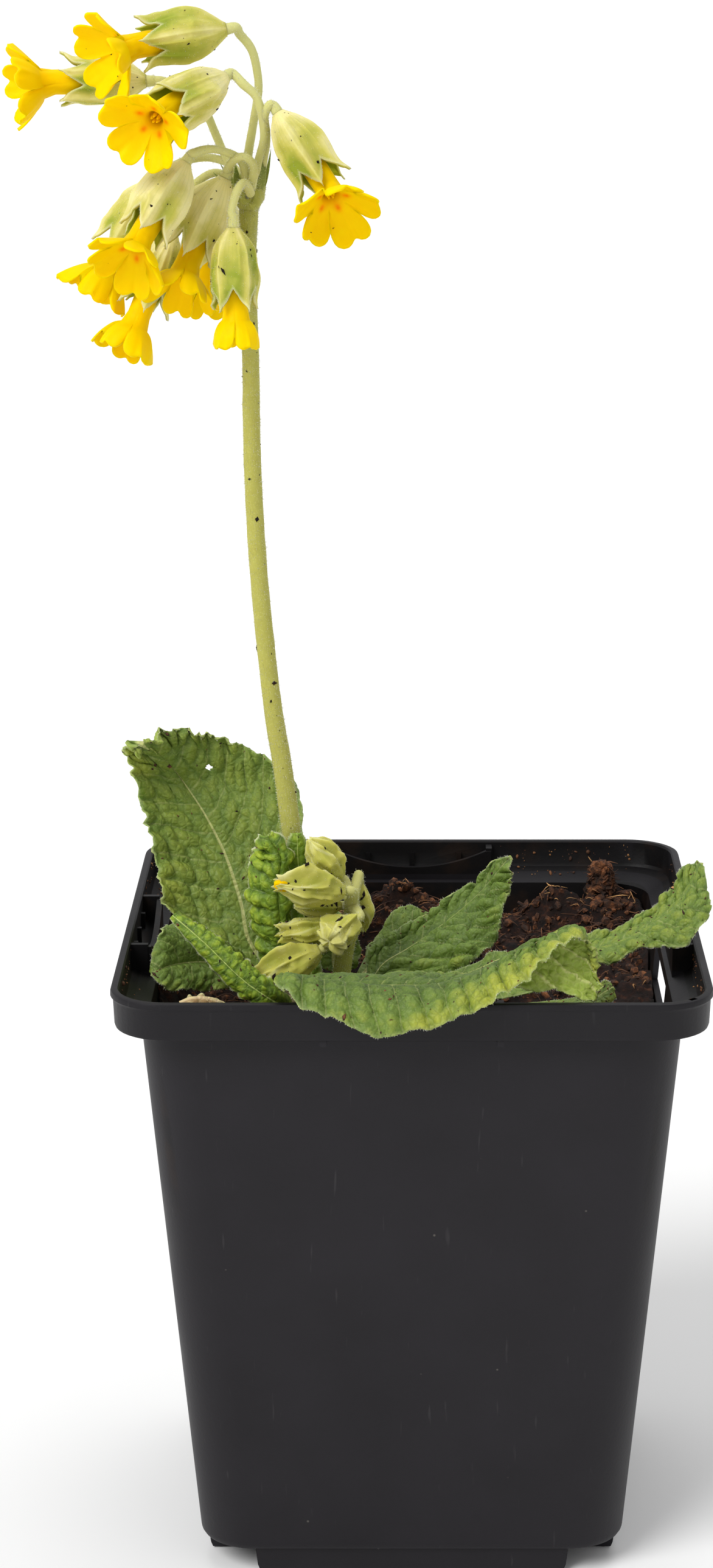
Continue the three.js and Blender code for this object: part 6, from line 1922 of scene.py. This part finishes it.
def rolled_surface(leaf):
    """A young leaf, both halves rolled back under it, so that its blistered upper face is outside."""
    t = np.linspace(0, 1, 200)
    total = np.linalg.norm(np.diff(curve(leaf["rib"], t), axis=0), axis=1).sum()
    rows = int(total / (MESH_STEP * 0.9))
    cols = int(max(map(max, leaf["width"])) / (MESH_STEP * 0.9))
    s = np.linspace(0, 1, rows + 1)
    middle = curve(leaf["rib"], s)
    way = heading(leaf["rib"], s)
    side = np.array(leaf["side"], float)
    side = unit(side - way * (way @ side)[:, None])
    normal = np.cross(way, side)
    x = np.linspace(1, -1, 2 * cols + 1)
    half = np.broadcast_to(x < 0, (rows + 1, len(x)))
    share = np.broadcast_to(np.abs(x), half.shape)
    stations = np.linspace(0, 1, 5)
    spans = [np.interp(s, stations, w)[:, None] for w in leaf["width"]]
    width = np.where(half, spans[1], spans[0]) * swell(s)[:, None]
    turn = np.radians(np.where(half, leaf["roll"][1], leaf["roll"][0]))
    frill = leaf["wave"] * np.sin(2 * np.pi * leaf["waves"] * s[:, None] + half * 1.9) * share
    frill = frill * np.clip(width / 3, 0, 1)
    down = (1 - np.cos(turn * share)) / turn * width
    crest = (down[:, :1] + down[:, -1:]) / 2
    flare = ROLLED_FLARE * share**6 * np.clip(width / 4, 0, 1)
    out = np.sin(turn * share) / turn * width - frill * np.sin(turn * share) + flare
    out = np.where(half, -out, out)
    up = crest - down - frill * np.cos(turn * share)
    p = middle[:, None] + side[:, None] * out[..., None] + normal[:, None] * up[..., None]
    length = np.concatenate([[0], np.cumsum(np.linalg.norm(np.diff(middle, axis=0), axis=1))])
    return p, share, half, width, length


# %% [markdown]
# Now every leaf is made, with a fringe of hairs along its edges and specks of peat on it. One leaf has a
# small hole, as in the photograph, where its cells are left out.
# %% Make the leaves
# the hole's middle and half sizes in the photograph
HOLE = (342, 1262, 7, 5)
leaf_down = Form()
leaf_specks = Form()


def add_leaf_down(front, back, count, rng):
    """A fringe of short hairs along both edges of a leaf."""
    for column, inward in ((0, 1), (-1, -2)):
        pick = rng.integers(len(front) // 8, len(front), count)
        edge = (front[pick, column] + back[pick, column]) / 2
        away = unit(edge - (front[pick, inward] + back[pick, inward]) / 2)
        add_hairs(leaf_down, edge, away, length=0.32, width=0.025, rng=rng, droop=0.5)


for name, leaf in LEAVES.items():
    holes = [HOLE] if name == "back_left" else []
    front, back, normal = finish_leaf(name, *leaf_surface(leaf), leaf, leaf_green, "leaf", holes)
    add_leaf_down(front, back, len(front) * 2, rng)
    add_specks(leaf_specks, front, normal, count=len(front), rng=rng, biggest=0.24)
for name, leaf in ROLLED.items():
    front, back, normal = finish_leaf(name, *rolled_surface(leaf), leaf, young_green, "young_leaf")
    add_leaf_down(front, back, len(front) * 4, rng)
    add_specks(leaf_specks, front, normal, count=25, rng=rng, biggest=0.24)
finish_leaf("dry", *leaf_surface(DRY_LEAF), DRY_LEAF, dead_leaf, "dry_leaf")
make_piece("leaf_down", leaf_down, white_down)
make_piece("leaf_specks", leaf_specks, crumbly_peat)
print("leaf hairs:", leaf_down.count // 4, "specks:", leaf_specks.count // len(SPECK))

# %% [markdown]
# ## Floor and light
# The photograph shows the plant against white, with soft light from the upper left. Area lamps close by
# would light the tall flowers more than the pot, so the lamps are broad far suns, which light all of it
# alike. The surroundings are white at the horizon, which the pot's sides face, and dimmer above.
# %% Floor and lights
studio_floor, tree, shader, places = start_material("studio_floor")
haze = add(tree, "TexNoise", {"Vector": places, "Scale": 3.0})
paper = add(tree, "Mix", {
    FACTOR: haze.outputs["Fac"], MIX_A: "#efefee", MIX_B: "#f4f4f3",
}, data_type="RGBA")
feed(tree, shader, {"Base Color": paper.outputs[MIXED], "Roughness": 0.9, "Specular IOR Level": 0.1})
# the floor's half width, in metres
REACH = 15.0
corners = [(-REACH, -REACH, 0), (REACH, -REACH, 0), (REACH, REACH, 0), (-REACH, REACH, 0)]
mesh = bpy.data.meshes.new("floor")
mesh.from_pydata(corners, [], [(0, 1, 2, 3)])
mesh.materials.append(studio_floor)
floor = bpy.data.objects.new("floor", mesh)
bpy.context.scene.collection.objects.link(floor)
floor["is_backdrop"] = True

# the surroundings are white up to the first of these heights above the horizon and dim above the second
HORIZON_GLOW = (0.2, 0.4)
world = bpy.data.worlds.new("studio")
world.use_nodes = True
tree = world.node_tree
way = add(tree, "TexCoord").outputs["Generated"]
rise = add(tree, "SeparateXYZ", {"Vector": way}).outputs["Z"]
dimmer = add(tree, "MapRange", {
    "Value": rise, "From Min": HORIZON_GLOW[0], "From Max": HORIZON_GLOW[1], "To Min": 1.0, "To Max": 0.4,
})
feed(tree, tree.nodes["Background"], {"Color": "#fdfdff", "Strength": dimmer.outputs[0]})
bpy.context.scene.world = world


def add_lamp(name, azimuth, elevation, spread, strength):
    """A broad far light, its angles in degrees. Azimuth 0 is in front of the pot, above 0 to its right."""
    data = bpy.data.lights.new(name, "SUN")
    data.angle = math.radians(spread)
    data.energy = strength
    lamp = bpy.data.objects.new(name, data)
    lamp.rotation_euler = (math.radians(90 - elevation), 0, math.radians(azimuth))
    bpy.context.scene.collection.objects.link(lamp)


add_lamp("key", azimuth=-42, elevation=44, spread=32, strength=2.2)
add_lamp("fill", azimuth=55, elevation=50, spread=50, strength=0.2)
add_lamp("top", azimuth=170, elevation=66, spread=50, strength=1.0)
bpy.context.scene.view_settings.view_transform = "Standard"
print("lamps:", [lamp.name for lamp in bpy.data.lights if lamp.type == "SUN"])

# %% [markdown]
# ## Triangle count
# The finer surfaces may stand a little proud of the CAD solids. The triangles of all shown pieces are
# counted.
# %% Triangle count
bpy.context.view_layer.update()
meshes = [piece.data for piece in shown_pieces() if piece.type == "MESH"]
print("triangles:", sum(len(face.vertices) - 2 for mesh in meshes for face in mesh.polygons))
